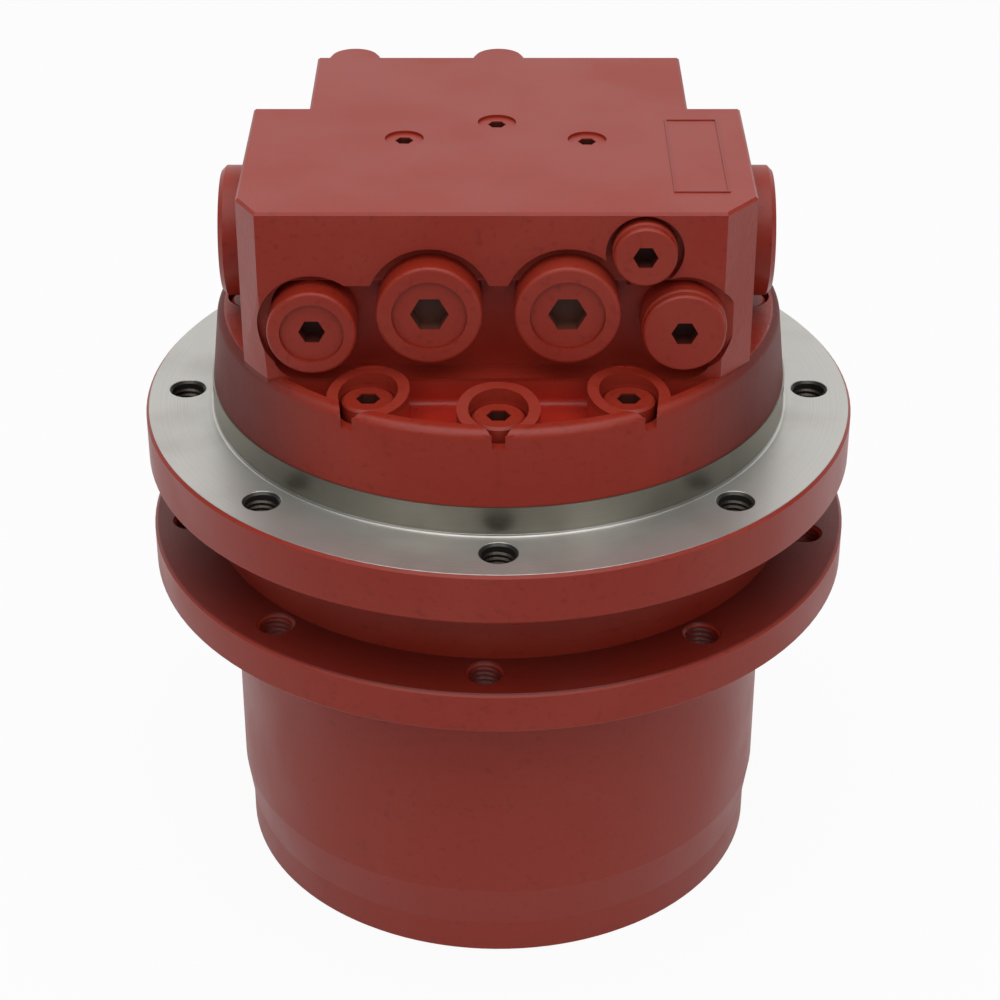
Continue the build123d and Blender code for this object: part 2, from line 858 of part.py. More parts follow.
# First stage carrier with pins, bushes and planets
with BuildPart() as first_carrier:
    revolve(
        band(second_sun_neck + press_gap, carrier_radius, carrier_z, carrier_z + carrier_thickness),
        axis=Axis.Z,
    )
    with Locations(*places(first_orbit, first_angles, carrier_z)):
        Cylinder(first_pin_radius + press_gap, carrier_thickness, align=on_base, mode=Mode.SUBTRACT)
keep("first_carrier", first_carrier)

first_bush_radius = first_pin_radius + press_gap + first_bush_wall
first_pin_low = first_planet_z - stage_gap / 2
first_pins = pin_set(first_orbit, first_angles, first_pin_radius, first_pin_low, carrier_z + carrier_thickness)
keep("first_stage_pins", first_pins)
first_bushes = bush_set(
    first_orbit,
    first_angles,
    first_pin_radius + press_gap,
    first_bush_radius,
    first_planet_z,
    first_planet_z + first_planet_width,
)
keep("first_stage_bushes", first_bushes)
for letter, angle in zip("abc", first_angles):
    keep(
        f"first_planet_{letter}",
        planet_gear(
            first_planet_teeth,
            first_orbit,
            angle,
            first_planet_z,
            first_planet_width,
            first_bush_radius + run_gap,
        ),
    )

# Input sun: pinion with a stem that runs through the second sun into the drive shaft
shaft_end_z = spindle_end_z + nut_offset
stem_length = oil_seal_width + front_bearing_width
with BuildPart() as input_sun:
    pinion_z = cover_inner_z + cover_boss_height + run_gap
    pinion_width = first_planet_z + first_planet_width - pinion_z
    extrude(external_gear(first_sun_teeth, first_angles[0], (0, 0, pinion_z)), amount=pinion_width)
    revolve(band(0, pinion_stem_radius, pinion_z, shaft_end_z + stem_length - press_gap), axis=Axis.Z)
keep("input_sun", input_sun)

# Drive shaft: bored for the pinion, splined for the cylinder block, journal at the top
with BuildPart() as drive_shaft:
    spline_low_z = cavity_floor_z + run_gap
    journal_z = joint_z + run_gap
    revolve(
        outline(
            [
                (0, shaft_end_z + stem_length),
                (pinion_stem_radius + press_gap, shaft_end_z + stem_length),
                (pinion_stem_radius + press_gap, shaft_end_z),
                (shaft_radius, shaft_end_z),
                (shaft_radius, spline_low_z),
                (spline_radius, spline_low_z),
                (spline_radius, valve_plate_z),
                (journal_radius, valve_plate_z),
                (journal_radius, journal_z + journal_length),
                (0, journal_z + journal_length),
            ]
        ),
        axis=Axis.Z,
    )
    with Locations((0, 0, block_z)):
        with PolarLocations(spline_radius, spline_count):
            Box(2 * spline_depth, 2 * spline_depth, block_length, align=on_base, mode=Mode.SUBTRACT)
keep("drive_shaft", drive_shaft)

# Oil seal and needle bearings of the drive shaft
with BuildPart() as shaft_oil_seal:
    seal_top_z = spindle_end_z + oil_seal_width - press_gap
    revolve(
        band(shaft_radius + run_gap, oil_seal_radius - press_gap, spindle_end_z + nut_offset, seal_top_z),
        axis=Axis.Z,
    )
keep("shaft_oil_seal", shaft_oil_seal)

with BuildPart() as front_shaft_bearing:
    bearing_low_z = cavity_floor_z - front_bearing_width
    revolve(
        band(shaft_radius + run_gap, front_bearing_radius - press_gap, bearing_low_z, cavity_floor_z),
        axis=Axis.Z,
    )
keep("front_shaft_bearing", front_shaft_bearing)

with BuildPart() as rear_shaft_bearing:
    revolve(
        band(
            journal_radius + run_gap,
            journal_radius + journal_wall - press_gap,
            journal_z,
            journal_z + journal_length,
        ),
        axis=Axis.Z,
    )
keep("rear_shaft_bearing", rear_shaft_bearing)

# Swash plate on two pivot balls, with its running face tilted for first speed
swash_plane = Plane(origin=(0, 0, swash_centre_z)).rotated((-swash_tilt, 0, 0))
with BuildPart() as swash_plate:
    with Locations((0, 0, swash_back_z)):
        Cylinder(swash_radius, 2 * swash_rise, align=on_base)
    split(bisect_by=swash_plane, keep=Keep.BOTTOM)
    with Locations((0, 0, swash_back_z)):
        Cylinder(swash_bore, 2 * swash_rise, align=on_base, mode=Mode.SUBTRACT)
    with Locations((pivot_offset, 0, pivot_z), (-pivot_offset, 0, pivot_z)):
        Sphere(pivot_radius + run_gap, mode=Mode.SUBTRACT)
keep("swash_plate", swash_plate)

with BuildPart() as swash_pivot_balls:
    with Locations((pivot_offset, 0, pivot_z), (-pivot_offset, 0, pivot_z)):
        Sphere(pivot_radius)
keep("swash_pivot_balls", swash_pivot_balls)

# Control piston in the spindle floor, domed where it lifts the swash plate
with BuildPart() as control_piston:
    foot_z = cavity_floor_z - control_depth + run_gap
    with Locations((0, control_offset, foot_z)):
        Cylinder(control_radius, swash_back_z - groove_gap - foot_z, align=on_base)
    fillet(control_piston.edges().filter_by(GeomType.CIRCLE).sort_by(Axis.Z)[-1:], control_dome)
keep("control_piston", control_piston)

# Slipper shoes and their retainer plate, lying on the tilted running face
shoe_plane = swash_plane.offset(run_gap)
with BuildPart() as slipper_shoes:
    with Locations(shoe_plane):
        with PolarLocations(piston_orbit, piston_count, start_angle=-90):
            Cylinder(shoe_radius, shoe_height, align=on_base)
            Cylinder(shoe_collar_radius, shoe_height + shoe_collar_height, align=on_base)
keep("slipper_shoes", slipper_shoes)

with BuildPart() as shoe_retainer:
    with Locations(shoe_plane.offset(shoe_height + press_gap)):
        Cylinder(piston_orbit + retainer_margin, retainer_thickness, align=on_base)
        Cylinder(piston_orbit - retainer_margin, retainer_thickness, align=on_base, mode=Mode.SUBTRACT)
        with PolarLocations(piston_orbit, piston_count, start_angle=-90):
            Cylinder(
                shoe_collar_radius + press_gap, retainer_thickness, align=on_base, mode=Mode.SUBTRACT
            )
keep("shoe_retainer", shoe_retainer)

# Cylinder block on the shaft splines, with a bore and a port for each piston
with BuildPart() as cylinder_block:
    revolve(band(spline_radius + press_gap, block_radius, block_z, block_z + block_length), axis=Axis.Z)
    with Locations((0, 0, block_z)):
        with PolarLocations(piston_orbit, piston_count, start_angle=-90):
            Cylinder(
                piston_radius + press_gap, block_length - block_roof, align=on_base, mode=Mode.SUBTRACT
            )
            Cylinder(kidney_width / 2, block_length, align=on_base, mode=Mode.SUBTRACT)
keep("cylinder_block", cylinder_block)

# Pistons at the top of their stroke, with the ball ends clear of the shoes
with BuildPart() as pistons:
    ball_z = block_z - piston_stroke_gap
    skirt_z = block_z + piston_ball_radius / 2
    crown_z = block_z + block_length - block_roof - piston_stroke_gap
    with PolarLocations(piston_orbit, piston_count, start_angle=-90):
        with Locations((0, 0, ball_z)):
            Sphere(piston_ball_radius)
            Cylinder(piston_neck_radius, skirt_z - ball_z, align=on_base)
        with Locations((0, 0, skirt_z)):
            Cylinder(piston_radius, crown_z - skirt_z, align=on_base)
keep("pistons", pistons)

# Valve plate with two kidney ports, against the motor body
with BuildPart() as valve_plate:
    revolve(band(valve_plate_bore, valve_plate_radius, valve_plate_z, joint_z - press_gap), axis=Axis.Z)
    with BuildSketch(Plane.XY.offset(valve_plate_z)):
        for middle in (0, 180):
            arc = CenterArc((0, 0), piston_orbit, middle - kidney_arc / 2, kidney_arc, mode=Mode.PRIVATE)
            SlotArc(arc, kidney_width)
    extrude(amount=valve_plate_thickness, mode=Mode.SUBTRACT)
keep("valve_plate", valve_plate)

# Parking brake: plates keyed in the spindle, discs on the block, piston and disc spring above
brake_pitch = brake_plate_thickness + brake_disc_thickness + 2 * groove_gap
brake_plate_heights = [brake_step_z + press_gap + level * brake_pitch for level in range(brake_disc_count + 1)]
with BuildPart() as brake_separator_plates:
    for height in brake_plate_heights:
        revolve(
            band(brake_plate_inner, brake_bore_radius - press_gap, height, height + brake_plate_thickness),
            axis=Axis.Z,
        )
keep("brake_separator_plates", brake_separator_plates)

with BuildPart() as brake_friction_discs:
    for height in brake_plate_heights[:-1]:
        low = height + brake_plate_thickness + groove_gap
        revolve(
            band(block_radius + press_gap, brake_disc_outer, low, low + brake_disc_thickness), axis=Axis.Z
        )
keep("brake_friction_discs", brake_friction_discs)

piston_foot_z = brake_plate_heights[-1] + brake_plate_thickness + run_gap
piston_step_z = joint_z + run_gap
with BuildPart() as brake_piston:
    revolve(
        outline(
            [
                (brake_plate_inner, piston_foot_z),
                (brake_bore_radius - run_gap, piston_foot_z),
                (brake_bore_radius - run_gap, piston_step_z),
                (brake_piston_outer, piston_step_z),
                (brake_piston_outer, piston_step_z + brake_piston_height),
                (brake_plate_inner, piston_step_z + brake_piston_height),
            ]
        ),
        axis=Axis.Z,
    )
keep("brake_piston", brake_piston)

with BuildPart() as brake_spring:
    spring_low_z = piston_step_z + brake_piston_height + run_gap
    spring_high_z = joint_z + brake_chamber_height - press_gap
    revolve(
        outline(
            [
                (brake_plate_inner + brake_spring_inset, spring_high_z - brake_spring_thickness),
                (brake_piston_outer - brake_spring_inset, spring_low_z),
                (brake_piston_outer - brake_spring_inset, spring_low_z + brake_spring_thickness),
                (brake_plate_inner + brake_spring_inset, spring_high_z),
            ]
        ),
        axis=Axis.Z,
    )
keep("brake_spring", brake_spring)

# O-ring between the motor body and the spindle flange
with BuildPart() as body_o_ring:
    with Locations((0, 0, joint_z + body_cord_radius + press_gap)):
        Torus(body_cord_circle, body_cord_radius)
keep("body_o_ring", body_o_ring)

# Valve block of the motor body: stepped plan with chamfered front corners that run into the drum
with BuildPart() as valve_block:
    with BuildSketch(Plane.XY.offset(ledge_z - drum_rim_round)):
        with BuildLine():
            Polyline(
                (block_left + left_chamfer_x, block_front),
                (block_right - right_chamfer_x, block_front),
                (block_right, block_front + right_chamfer_y),
                (block_right, block_step),
                (block_rear_half, block_step),
                (block_rear_half, block_rear),
                (-block_rear_half, block_rear),
                (-block_rear_half, block_step),
                (block_left, block_step),
                (block_left, block_front + left_chamfer_y),
                close=True,
            )
        make_face()
    extrude(amount=block_top_z - ledge_z + drum_rim_round)
    revolve(
        outline(
            [
                (0, joint_z),
                (drum_radius, joint_z),
                (drum_radius, ledge_z),
                (drum_radius + block_corner_flare, block_top_z),
                (0, block_top_z),
            ]
        ),
        axis=Axis.Z,
        mode=Mode.INTERSECT,
    )
    with Locations(*[(x, block_rear, block_top_z - rear_boss_drop) for x in rear_boss_offsets]):
        Cylinder(rear_boss_radius, rear_boss_drop, align=on_base)
    chamfer(valve_block.faces().sort_by(Axis.Z)[-1].edges(), block_edge_break)

pilot_face_reach = pilot_boss_reach - cap_plug_thickness
gauge_face_reach = gauge_boss_reach - cap_plug_thickness
front_ports = (
    (-main_port_offset, main_port_rise, main_boss_radius, main_boss_reach, recess_margin),
    (main_port_offset, main_port_rise, main_boss_radius, main_boss_reach, recess_margin),
    (drain_port_offset, drain_port_rise, drain_boss_radius, drain_boss_reach, recess_margin),
    (pilot_port_offset, pilot_port_rise, pilot_boss_radius, pilot_face_reach, recess_margin),
    (gauge_port_offset, gauge_port_rise, gauge_boss_radius, gauge_face_reach, gauge_recess_margin),
)
front_screw_angles = screw_angles[:3]
with BuildPart() as port_bosses:
    for offset, rise, radius, reach, margin in front_ports:
        boss = disc_face(radius, port_plane(offset, rise, block_front - reach))
        extrude(boss, amount=pocket_depth + reach + plug_sink)
    boss_faces = port_bosses.faces().filter_by(lambda face: face.normal_at().Y < -facing_limit)
    fillet(boss_faces.edges(), boss_round)

# Trough behind the rim of the drum, under the front pocket, and the lips that stand in it
with BuildPart() as trough:
    with BuildSketch(Plane.XY.offset(ledge_z - trough_depth)):
        Circle(drum_radius - trough_rim)
        with Locations((0, block_front)):
            Rectangle(
                2 * pocket_right, drum_radius, align=(Align.CENTER, Align.MAX), mode=Mode.INTERSECT
            )
    extrude(amount=trough_depth)
    fillet(trough.faces().sort_by(Axis.Z)[0].edges(), trough_round)
with BuildPart() as screw_lips:
    with Locations(*places(screw_circle / 2, front_screw_angles, ledge_z - trough_depth)):
        Cylinder(screw_lip_radius, trough_depth + screw_lip_height, align=on_base)
    lip_tops = screw_lips.faces().filter_by(lambda face: face.normal_at().Z > facing_limit)
    fillet(lip_tops.edges(), screw_lip_round)
    # The lips fall off towards the rim
    lip_inner = screw_circle / 2 - screw_lip_radius
    lip_outer = screw_circle / 2 + screw_lip_radius + edge_break
    lip_top_z = ledge_z + screw_lip_height
    fall = outline([(lip_inner, lip_top_z), (lip_outer, lip_top_z - screw_lip_fall), (lip_outer, lip_top_z)])
    revolve(fall, axis=Axis.Z, mode=Mode.SUBTRACT)

chamber_end = spool_half_length + press_gap
with BuildPart() as motor_body:
    revolve(
        outline([(0, joint_z), (drum_base_radius, joint_z), (drum_radius, ledge_z), (0, ledge_z)]),
        axis=Axis.Z,
    )
    fillet(motor_body.edges().filter_by(GeomType.CIRCLE).sort_by(Axis.Z)[-1:], drum_rim_round)
    add(valve_block.part)
    # Pocket low on the front face, and the round recesses about the ports
    with BuildSketch(port_plane(0, drum_height, block_front - main_boss_reach)) as pocket_face:
        with Locations(((pocket_left + pocket_right) / 2, -pocket_height / 2)):
            RectangleRounded(pocket_right - pocket_left, pocket_height, pocket_round)
    extrude(amount=pocket_wall - block_front + main_boss_reach, mode=Mode.SUBTRACT)
    add(trough.part, mode=Mode.SUBTRACT)
    for offset, rise, radius, reach, margin in front_ports:
        start = block_front - main_boss_reach
        recess = disc_face(radius + margin, port_plane(offset, rise, start))
        extrude(recess, amount=recess_floor - start, mode=Mode.SUBTRACT)
    add(port_bosses.part)
    # Screw seats on the ledge, lipped and notched to the rim where they show at the front
    add(screw_lips.part)
    for angle in front_screw_angles:
        notch = notch_face(angle, ledge_z - screw_notch_drop)
        extrude(notch, amount=screw_notch_drop + screw_lip_height, mode=Mode.SUBTRACT)
    with Locations(*places(screw_circle / 2, screw_angles, ledge_z - screw_seat_drop)):
        Cylinder(screw_recess_radius, screw_recess_height, align=on_base, mode=Mode.SUBTRACT)
    with Locations(*places(screw_circle / 2, screw_angles, joint_z)):
        Cylinder(screw_radius + run_gap, drum_height, align=on_base, mode=Mode.SUBTRACT)
    # Spool bore from side to side with a spring chamber under each cap
    for direction, side in ((1, block_right), (-1, -block_left)):
        extrude(disc_face(spool_radius + run_gap, side_plane(0, direction)), amount=side, mode=Mode.SUBTRACT)
        chamber = disc_face(chamber_radius, side_plane(direction * chamber_end, direction))
        extrude(chamber, amount=side - chamber_end, mode=Mode.SUBTRACT)
    # Port bores with the seats of their plugs
    for offset in (-main_port_offset, main_port_offset):
        face_y = block_front - main_boss_reach
        bore = disc_face(main_port_radius + press_gap, port_plane(offset, main_port_rise, face_y))
        extrude(bore, amount=spool_y - face_y, mode=Mode.SUBTRACT)
        seat = disc_face(main_plug_radius + press_gap, port_plane(offset, main_port_rise, face_y))
        extrude(seat, amount=2 * plug_sink, mode=Mode.SUBTRACT)
    drain_y = block_front - drain_boss_reach
    drain_plane = port_plane(drain_port_offset, drain_port_rise, drain_y)
    drain_bore = disc_face(drain_port_radius + press_gap, drain_plane)
    extrude(drain_bore, amount=plug_length + plug_sink, mode=Mode.SUBTRACT)
    drain_seat = disc_face(drain_plug_radius + press_gap, drain_plane)
    extrude(drain_seat, amount=2 * plug_sink, mode=Mode.SUBTRACT)
    pilot_y = block_front - pilot_boss_reach
    pilot_bore = disc_face(pilot_port_radius, port_plane(pilot_port_offset, pilot_port_rise, pilot_y))
    extrude(pilot_bore, amount=selector_bore_length, mode=Mode.SUBTRACT)
    gauge_y = block_front - gauge_boss_reach
    gauge_plane = port_plane(gauge_port_offset, gauge_port_rise, gauge_y)
    gauge_bore = disc_face(gauge_port_radius + press_gap, gauge_plane)
    extrude(gauge_bore, amount=plug_length + plug_sink, mode=Mode.SUBTRACT)
    with Locations(*[(x, y, block_top_z) for x, y in orifice_places]):
        Hole(orifice_radius + press_gap, orifice_length + orifice_sink)
    # Brake chamber, shaft bearing bore and O-ring groove in the underside
    revolve(
        band(
            brake_plate_inner - run_gap, brake_piston_outer + run_gap, joint_z, joint_z + brake_chamber_height
        ),
        axis=Axis.Z,
        mode=Mode.SUBTRACT,
    )
    revolve(
        band(0, journal_radius + journal_wall, joint_z, joint_z + journal_length + 2 * run_gap),
        axis=Axis.Z,
        mode=Mode.SUBTRACT,
    )
    revolve(
        band(
            body_cord_circle - body_cord_radius - press_gap,
            body_cord_circle + body_cord_radius + press_gap,
            joint_z,
            joint_z + 2 * (body_cord_radius + press_gap),
        ),
        axis=Axis.Z,
        mode=Mode.SUBTRACT,
    )
keep("motor_body", motor_body)

# Socket head screws round the ledge
with BuildPart() as body_screws:
    seat_z = ledge_z - screw_seat_drop
    with Locations(*places(screw_circle / 2, screw_angles, seat_z)):
        Cylinder(screw_head_radius, screw_head_height, align=on_base)
    head_tops = body_screws.faces().filter_by(lambda face: face.normal_at().Z > facing_limit)
    chamfer(head_tops.edges(), screw_head_break)
    with Locations(*places(screw_circle / 2, screw_angles, joint_z - screw_grip + press_gap)):
        Cylinder(screw_radius, seat_z - joint_z + screw_grip, align=on_base)
    for place in places(screw_circle / 2, screw_angles, seat_z + screw_head_height - hex_depth):
        extrude(hex_face(screw_hex, Plane(origin=place)), amount=hex_depth, mode=Mode.SUBTRACT)
keep("body_screws", body_screws)

# Plugs of the two main ports, sunk a little below the boss faces
with BuildPart() as main_port_plugs:
    plug_y = block_front - main_boss_reach + plug_sink
    for offset in (-main_port_offset, main_port_offset):
        extrude(disc_face(main_plug_radius, port_plane(offset, main_port_rise, plug_y)), amount=plug_sink)
        extrude(disc_face(main_port_radius, port_plane(offset, main_port_rise, plug_y)), amount=plug_length)
    for offset in (-main_port_offset, main_port_offset):
        socket = hex_face(main_plug_hex, port_plane(offset, main_port_rise, plug_y))
        extrude(socket, amount=hex_depth, mode=Mode.SUBTRACT)
keep("main_port_plugs", main_port_plugs)

with BuildPart() as drain_port_plug:
    plug_y = drain_y + plug_sink
    plug_place = port_plane(drain_port_offset, drain_port_rise, plug_y)
    extrude(disc_face(drain_plug_radius, plug_place), amount=plug_sink)
    extrude(disc_face(drain_port_radius, plug_place), amount=plug_length)
    extrude(hex_face(drain_plug_hex, plug_place), amount=hex_depth, mode=Mode.SUBTRACT)
keep("drain_port_plug", drain_port_plug)


def flanged_plug(offset, rise, face_y, head_radius, shank_radius, across_flats, shank_length):
    """Hexagon socket plug with a flat head that covers its boss."""
    place = port_plane(offset, rise, face_y)
    with BuildPart() as plug:
        extrude(disc_face(head_radius, place), amount=cap_plug_thickness - press_gap)
        chamfer(plug.faces().sort_by(Axis.Y)[0].edges(), cap_plug_break)
        extrude(disc_face(shank_radius, place), amount=shank_length)
        extrude(hex_face(across_flats, place), amount=hex_depth, mode=Mode.SUBTRACT)
    return plug


pilot_plug = flanged_plug(
    pilot_port_offset,
    pilot_port_rise,
    pilot_y,
    pilot_boss_radius - cap_plug_inset,
    pilot_port_radius - press_gap,
    pilot_plug_hex,
    plug_length - cap_plug_thickness,
)
keep("pilot_port_plug", pilot_plug)
gauge_plug = flanged_plug(
    gauge_port_offset,
    gauge_port_rise,
    gauge_y,
    gauge_boss_radius - cap_plug_inset,
    gauge_port_radius,
    gauge_plug_hex,
    plug_length,
)
keep("gauge_port_plug", gauge_plug)

# Orifice plugs in the top face
with BuildPart() as top_orifice_plugs:
    plug_top_z = block_top_z - orifice_sink
    with Locations(*[(x, y, plug_top_z - orifice_length) for x, y in orifice_places]):
        Cylinder(orifice_radius, orifice_length, align=on_base)
    for x, y in orifice_places:
        socket = hex_face(orifice_hex, Plane(origin=(x, y, plug_top_z - hex_depth)))
        extrude(socket, amount=hex_depth, mode=Mode.SUBTRACT)
keep("top_orifice_plugs", top_orifice_plugs)

# End caps of the counterbalance valve
with BuildPart() as counterbalance_caps:
    for direction, side in ((1, block_right), (-1, -block_left)):
        seat_x = direction * (side + press_gap)
        extrude(disc_face(cap_head_radius, side_plane(seat_x, direction)), amount=cap_head_thickness)
        outer_face = counterbalance_caps.faces().sort_by(Axis((0, 0, 0), (direction, 0, 0)))[-1]
        chamfer(outer_face.edges(), cap_head_break)
        spigot = disc_face(chamber_radius - press_gap, side_plane(seat_x, -direction))
        extrude(spigot, amount=cap_spigot_length)
        outer_x = direction * (side + press_gap + cap_head_thickness)
        extrude(hex_face(cap_hex, side_plane(outer_x, -direction)), amount=hex_depth, mode=Mode.SUBTRACT)
keep("counterbalance_caps", counterbalance_caps)

# Counterbalance spool with a metering groove at each main port
with BuildPart() as counterbalance_spool:
    extrude(disc_face(spool_radius, side_plane(-spool_half_length, 1)), amount=2 * spool_half_length)
    for offset in (-spool_groove_offset, spool_groove_offset):
        groove_plane = side_plane(offset - spool_groove_half, 1)
        with BuildSketch(groove_plane) as groove:
            Circle(spool_radius)
            Circle(spool_radius - spool_groove_depth, mode=Mode.SUBTRACT)
        extrude(amount=2 * spool_groove_half, mode=Mode.SUBTRACT)
keep("counterbalance_spool", counterbalance_spool)


def coil(start, direction, length, radius, wire, turns):
    """Compression spring: round wire on a helix with the given number of turns."""
    height = length - 2 * wire
    begin = Vector(start) + Vector(direction) * wire
    with BuildPart() as spring:
        with BuildLine() as path:
            Helix(height / turns, height, radius, center=begin, direction=direction)
        with BuildSketch(Plane(origin=path.line @ 0, z_dir=path.line % 0)):
            Circle(wire)
        sweep(is_frenet=True)
    return spring


# Centring springs of the counterbalance spool, one under each cap
spring_parts = []
for direction, side in ((1, block_right), (-1, -block_left)):
    spring_start = (direction * (spool_half_length + press_gap), spool_y, spool_z)
    spring_length = side - cap_spigot_length - spool_half_length - press_gap
    spring_parts.append(
        coil(spring_start, (direction, 0, 0), spring_length, spring_radius, spring_wire, spring_turns)
    )
with BuildPart() as counterbalance_springs:
    for spring in spring_parts:
        add(spring.part)
keep("counterbalance_springs", counterbalance_springs)

# Two-speed selector spool and its return spring, behind the pilot port
selector_y = pilot_y + plug_length - cap_plug_thickness + groove_gap
with BuildPart() as two_speed_spool:
    extrude(
        disc_face(selector_radius, port_plane(pilot_port_offset, pilot_port_rise, selector_y)),
        amount=selector_length,
    )
    with BuildSketch(port_plane(pilot_port_offset, pilot_port_rise, selector_y + selector_land)):
        Circle(selector_radius)
        Circle(selector_groove_radius, mode=Mode.SUBTRACT)
    extrude(amount=selector_length - 2 * selector_land, mode=Mode.SUBTRACT)
keep("two_speed_spool", two_speed_spool)

spring_start_y = selector_y + selector_length + press_gap
two_speed_spring = coil(
    (pilot_port_offset, spring_start_y, joint_z + pilot_port_rise),
    (0, 1, 0),
    pilot_y + selector_bore_length - spring_start_y - press_gap,
    selector_spring_radius,
    selector_spring_wire,
    spring_turns,
)
keep("two_speed_spring", two_speed_spring)

os.makedirs("parts", exist_ok=True)
for label, piece in pieces.items():
    export_step(piece, f"parts/{label}.step")
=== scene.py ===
"""Finishes, threads, springs and studio for an excavator final drive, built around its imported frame.

Lengths are metres, in the frame of the solids: +Z runs up the shaft and the ports face -Y.
"""

from __future__ import annotations

import logging
import math
from dataclasses import dataclass
from enum import Enum
from typing import Any

import bmesh
import bpy
import numpy as np
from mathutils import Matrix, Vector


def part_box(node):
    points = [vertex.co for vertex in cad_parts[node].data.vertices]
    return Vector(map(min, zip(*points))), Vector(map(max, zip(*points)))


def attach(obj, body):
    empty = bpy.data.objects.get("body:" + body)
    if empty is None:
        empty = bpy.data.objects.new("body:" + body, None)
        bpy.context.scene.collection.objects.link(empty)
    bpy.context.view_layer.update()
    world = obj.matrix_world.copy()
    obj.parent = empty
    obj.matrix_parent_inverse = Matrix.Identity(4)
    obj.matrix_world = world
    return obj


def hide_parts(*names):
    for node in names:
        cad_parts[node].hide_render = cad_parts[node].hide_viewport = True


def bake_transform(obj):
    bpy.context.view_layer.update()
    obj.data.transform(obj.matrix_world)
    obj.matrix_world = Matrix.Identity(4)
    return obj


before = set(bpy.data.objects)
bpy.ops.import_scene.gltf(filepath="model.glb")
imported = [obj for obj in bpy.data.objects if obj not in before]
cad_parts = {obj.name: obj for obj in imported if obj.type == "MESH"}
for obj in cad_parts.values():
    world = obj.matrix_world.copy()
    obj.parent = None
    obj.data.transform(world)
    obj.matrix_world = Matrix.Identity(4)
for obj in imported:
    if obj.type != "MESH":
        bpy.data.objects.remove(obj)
log = logging.getLogger("final_drive")

MM = 0.001
Colour = tuple[float, float, float]


def srgb(red: int, green: int, blue: int) -> Colour:
    """Linear colour from 8-bit display values, by the sRGB curve.

    Args:
        red: Display value from 0 to 255.
        green: Display value from 0 to 255.
        blue: Display value from 0 to 255.

    Returns:
        The colour as linear values from 0 to 1.
    """
    shares = np.array([red, green, blue]) / 255
    linear = np.where(shares <= 0.04045, shares / 12.92, ((shares + 0.055) / 1.055) ** 2.4)
    return tuple(float(value) for value in linear)


class Socket:
    """An output socket of a node, with operators that add Math nodes."""

    def __init__(self, board: Board, link: bpy.types.NodeSocket) -> None:
        """Keep the board and the socket."""
        self.board = board
        self.link = link

    def _math(self, operation: str, first: Any, second: Any) -> Socket:
        """Result of a Math node with two values or links.

        Args:
            operation: Name of the Math node's operation.
            first: Its first value or socket.
            second: Its second value or socket.

        Returns:
            The node's output.
        """
        return self.board.add("ShaderNodeMath", {"operation": operation}, {0: first, 1: second})

    def __add__(self, other: Any) -> Socket:
        """Sum."""
        return self._math("ADD", self, other)

    __radd__ = __add__

    def __sub__(self, other: Any) -> Socket:
        """Difference."""
        return self._math("SUBTRACT", self, other)

    def __rsub__(self, other: Any) -> Socket:
        """Difference from a number."""
        return self._math("SUBTRACT", other, self)

    def __mul__(self, other: Any) -> Socket:
        """Product."""
        return self._math("MULTIPLY", self, other)

    __rmul__ = __mul__

    def __pow__(self, other: Any) -> Socket:
        """Power."""
        return self._math("POWER", self, other)

    def __gt__(self, other: Any) -> Socket:
        """1 where this is greater, else 0."""
        return self._math("GREATER_THAN", self, other)

    def __lt__(self, other: Any) -> Socket:
        """1 where this is less, else 0."""
        return self._math("LESS_THAN", self, other)

    def __or__(self, other: Any) -> Socket:
        """Greater of two masks."""
        return self._math("MAXIMUM", self, other)

    def ramp(self, low: float, high: float) -> Socket:
        """Smooth step from 0 at low to 1 at high.

        Args:
            low: Value that gives 0.
            high: Value that gives 1.

        Returns:
            The stepped value.
        """
        settings = {"interpolation_type": "SMOOTHSTEP"}
        values = {"Value": self, "From Min": low, "From Max": high}
        return self.board.add("ShaderNodeMapRange", settings, values)


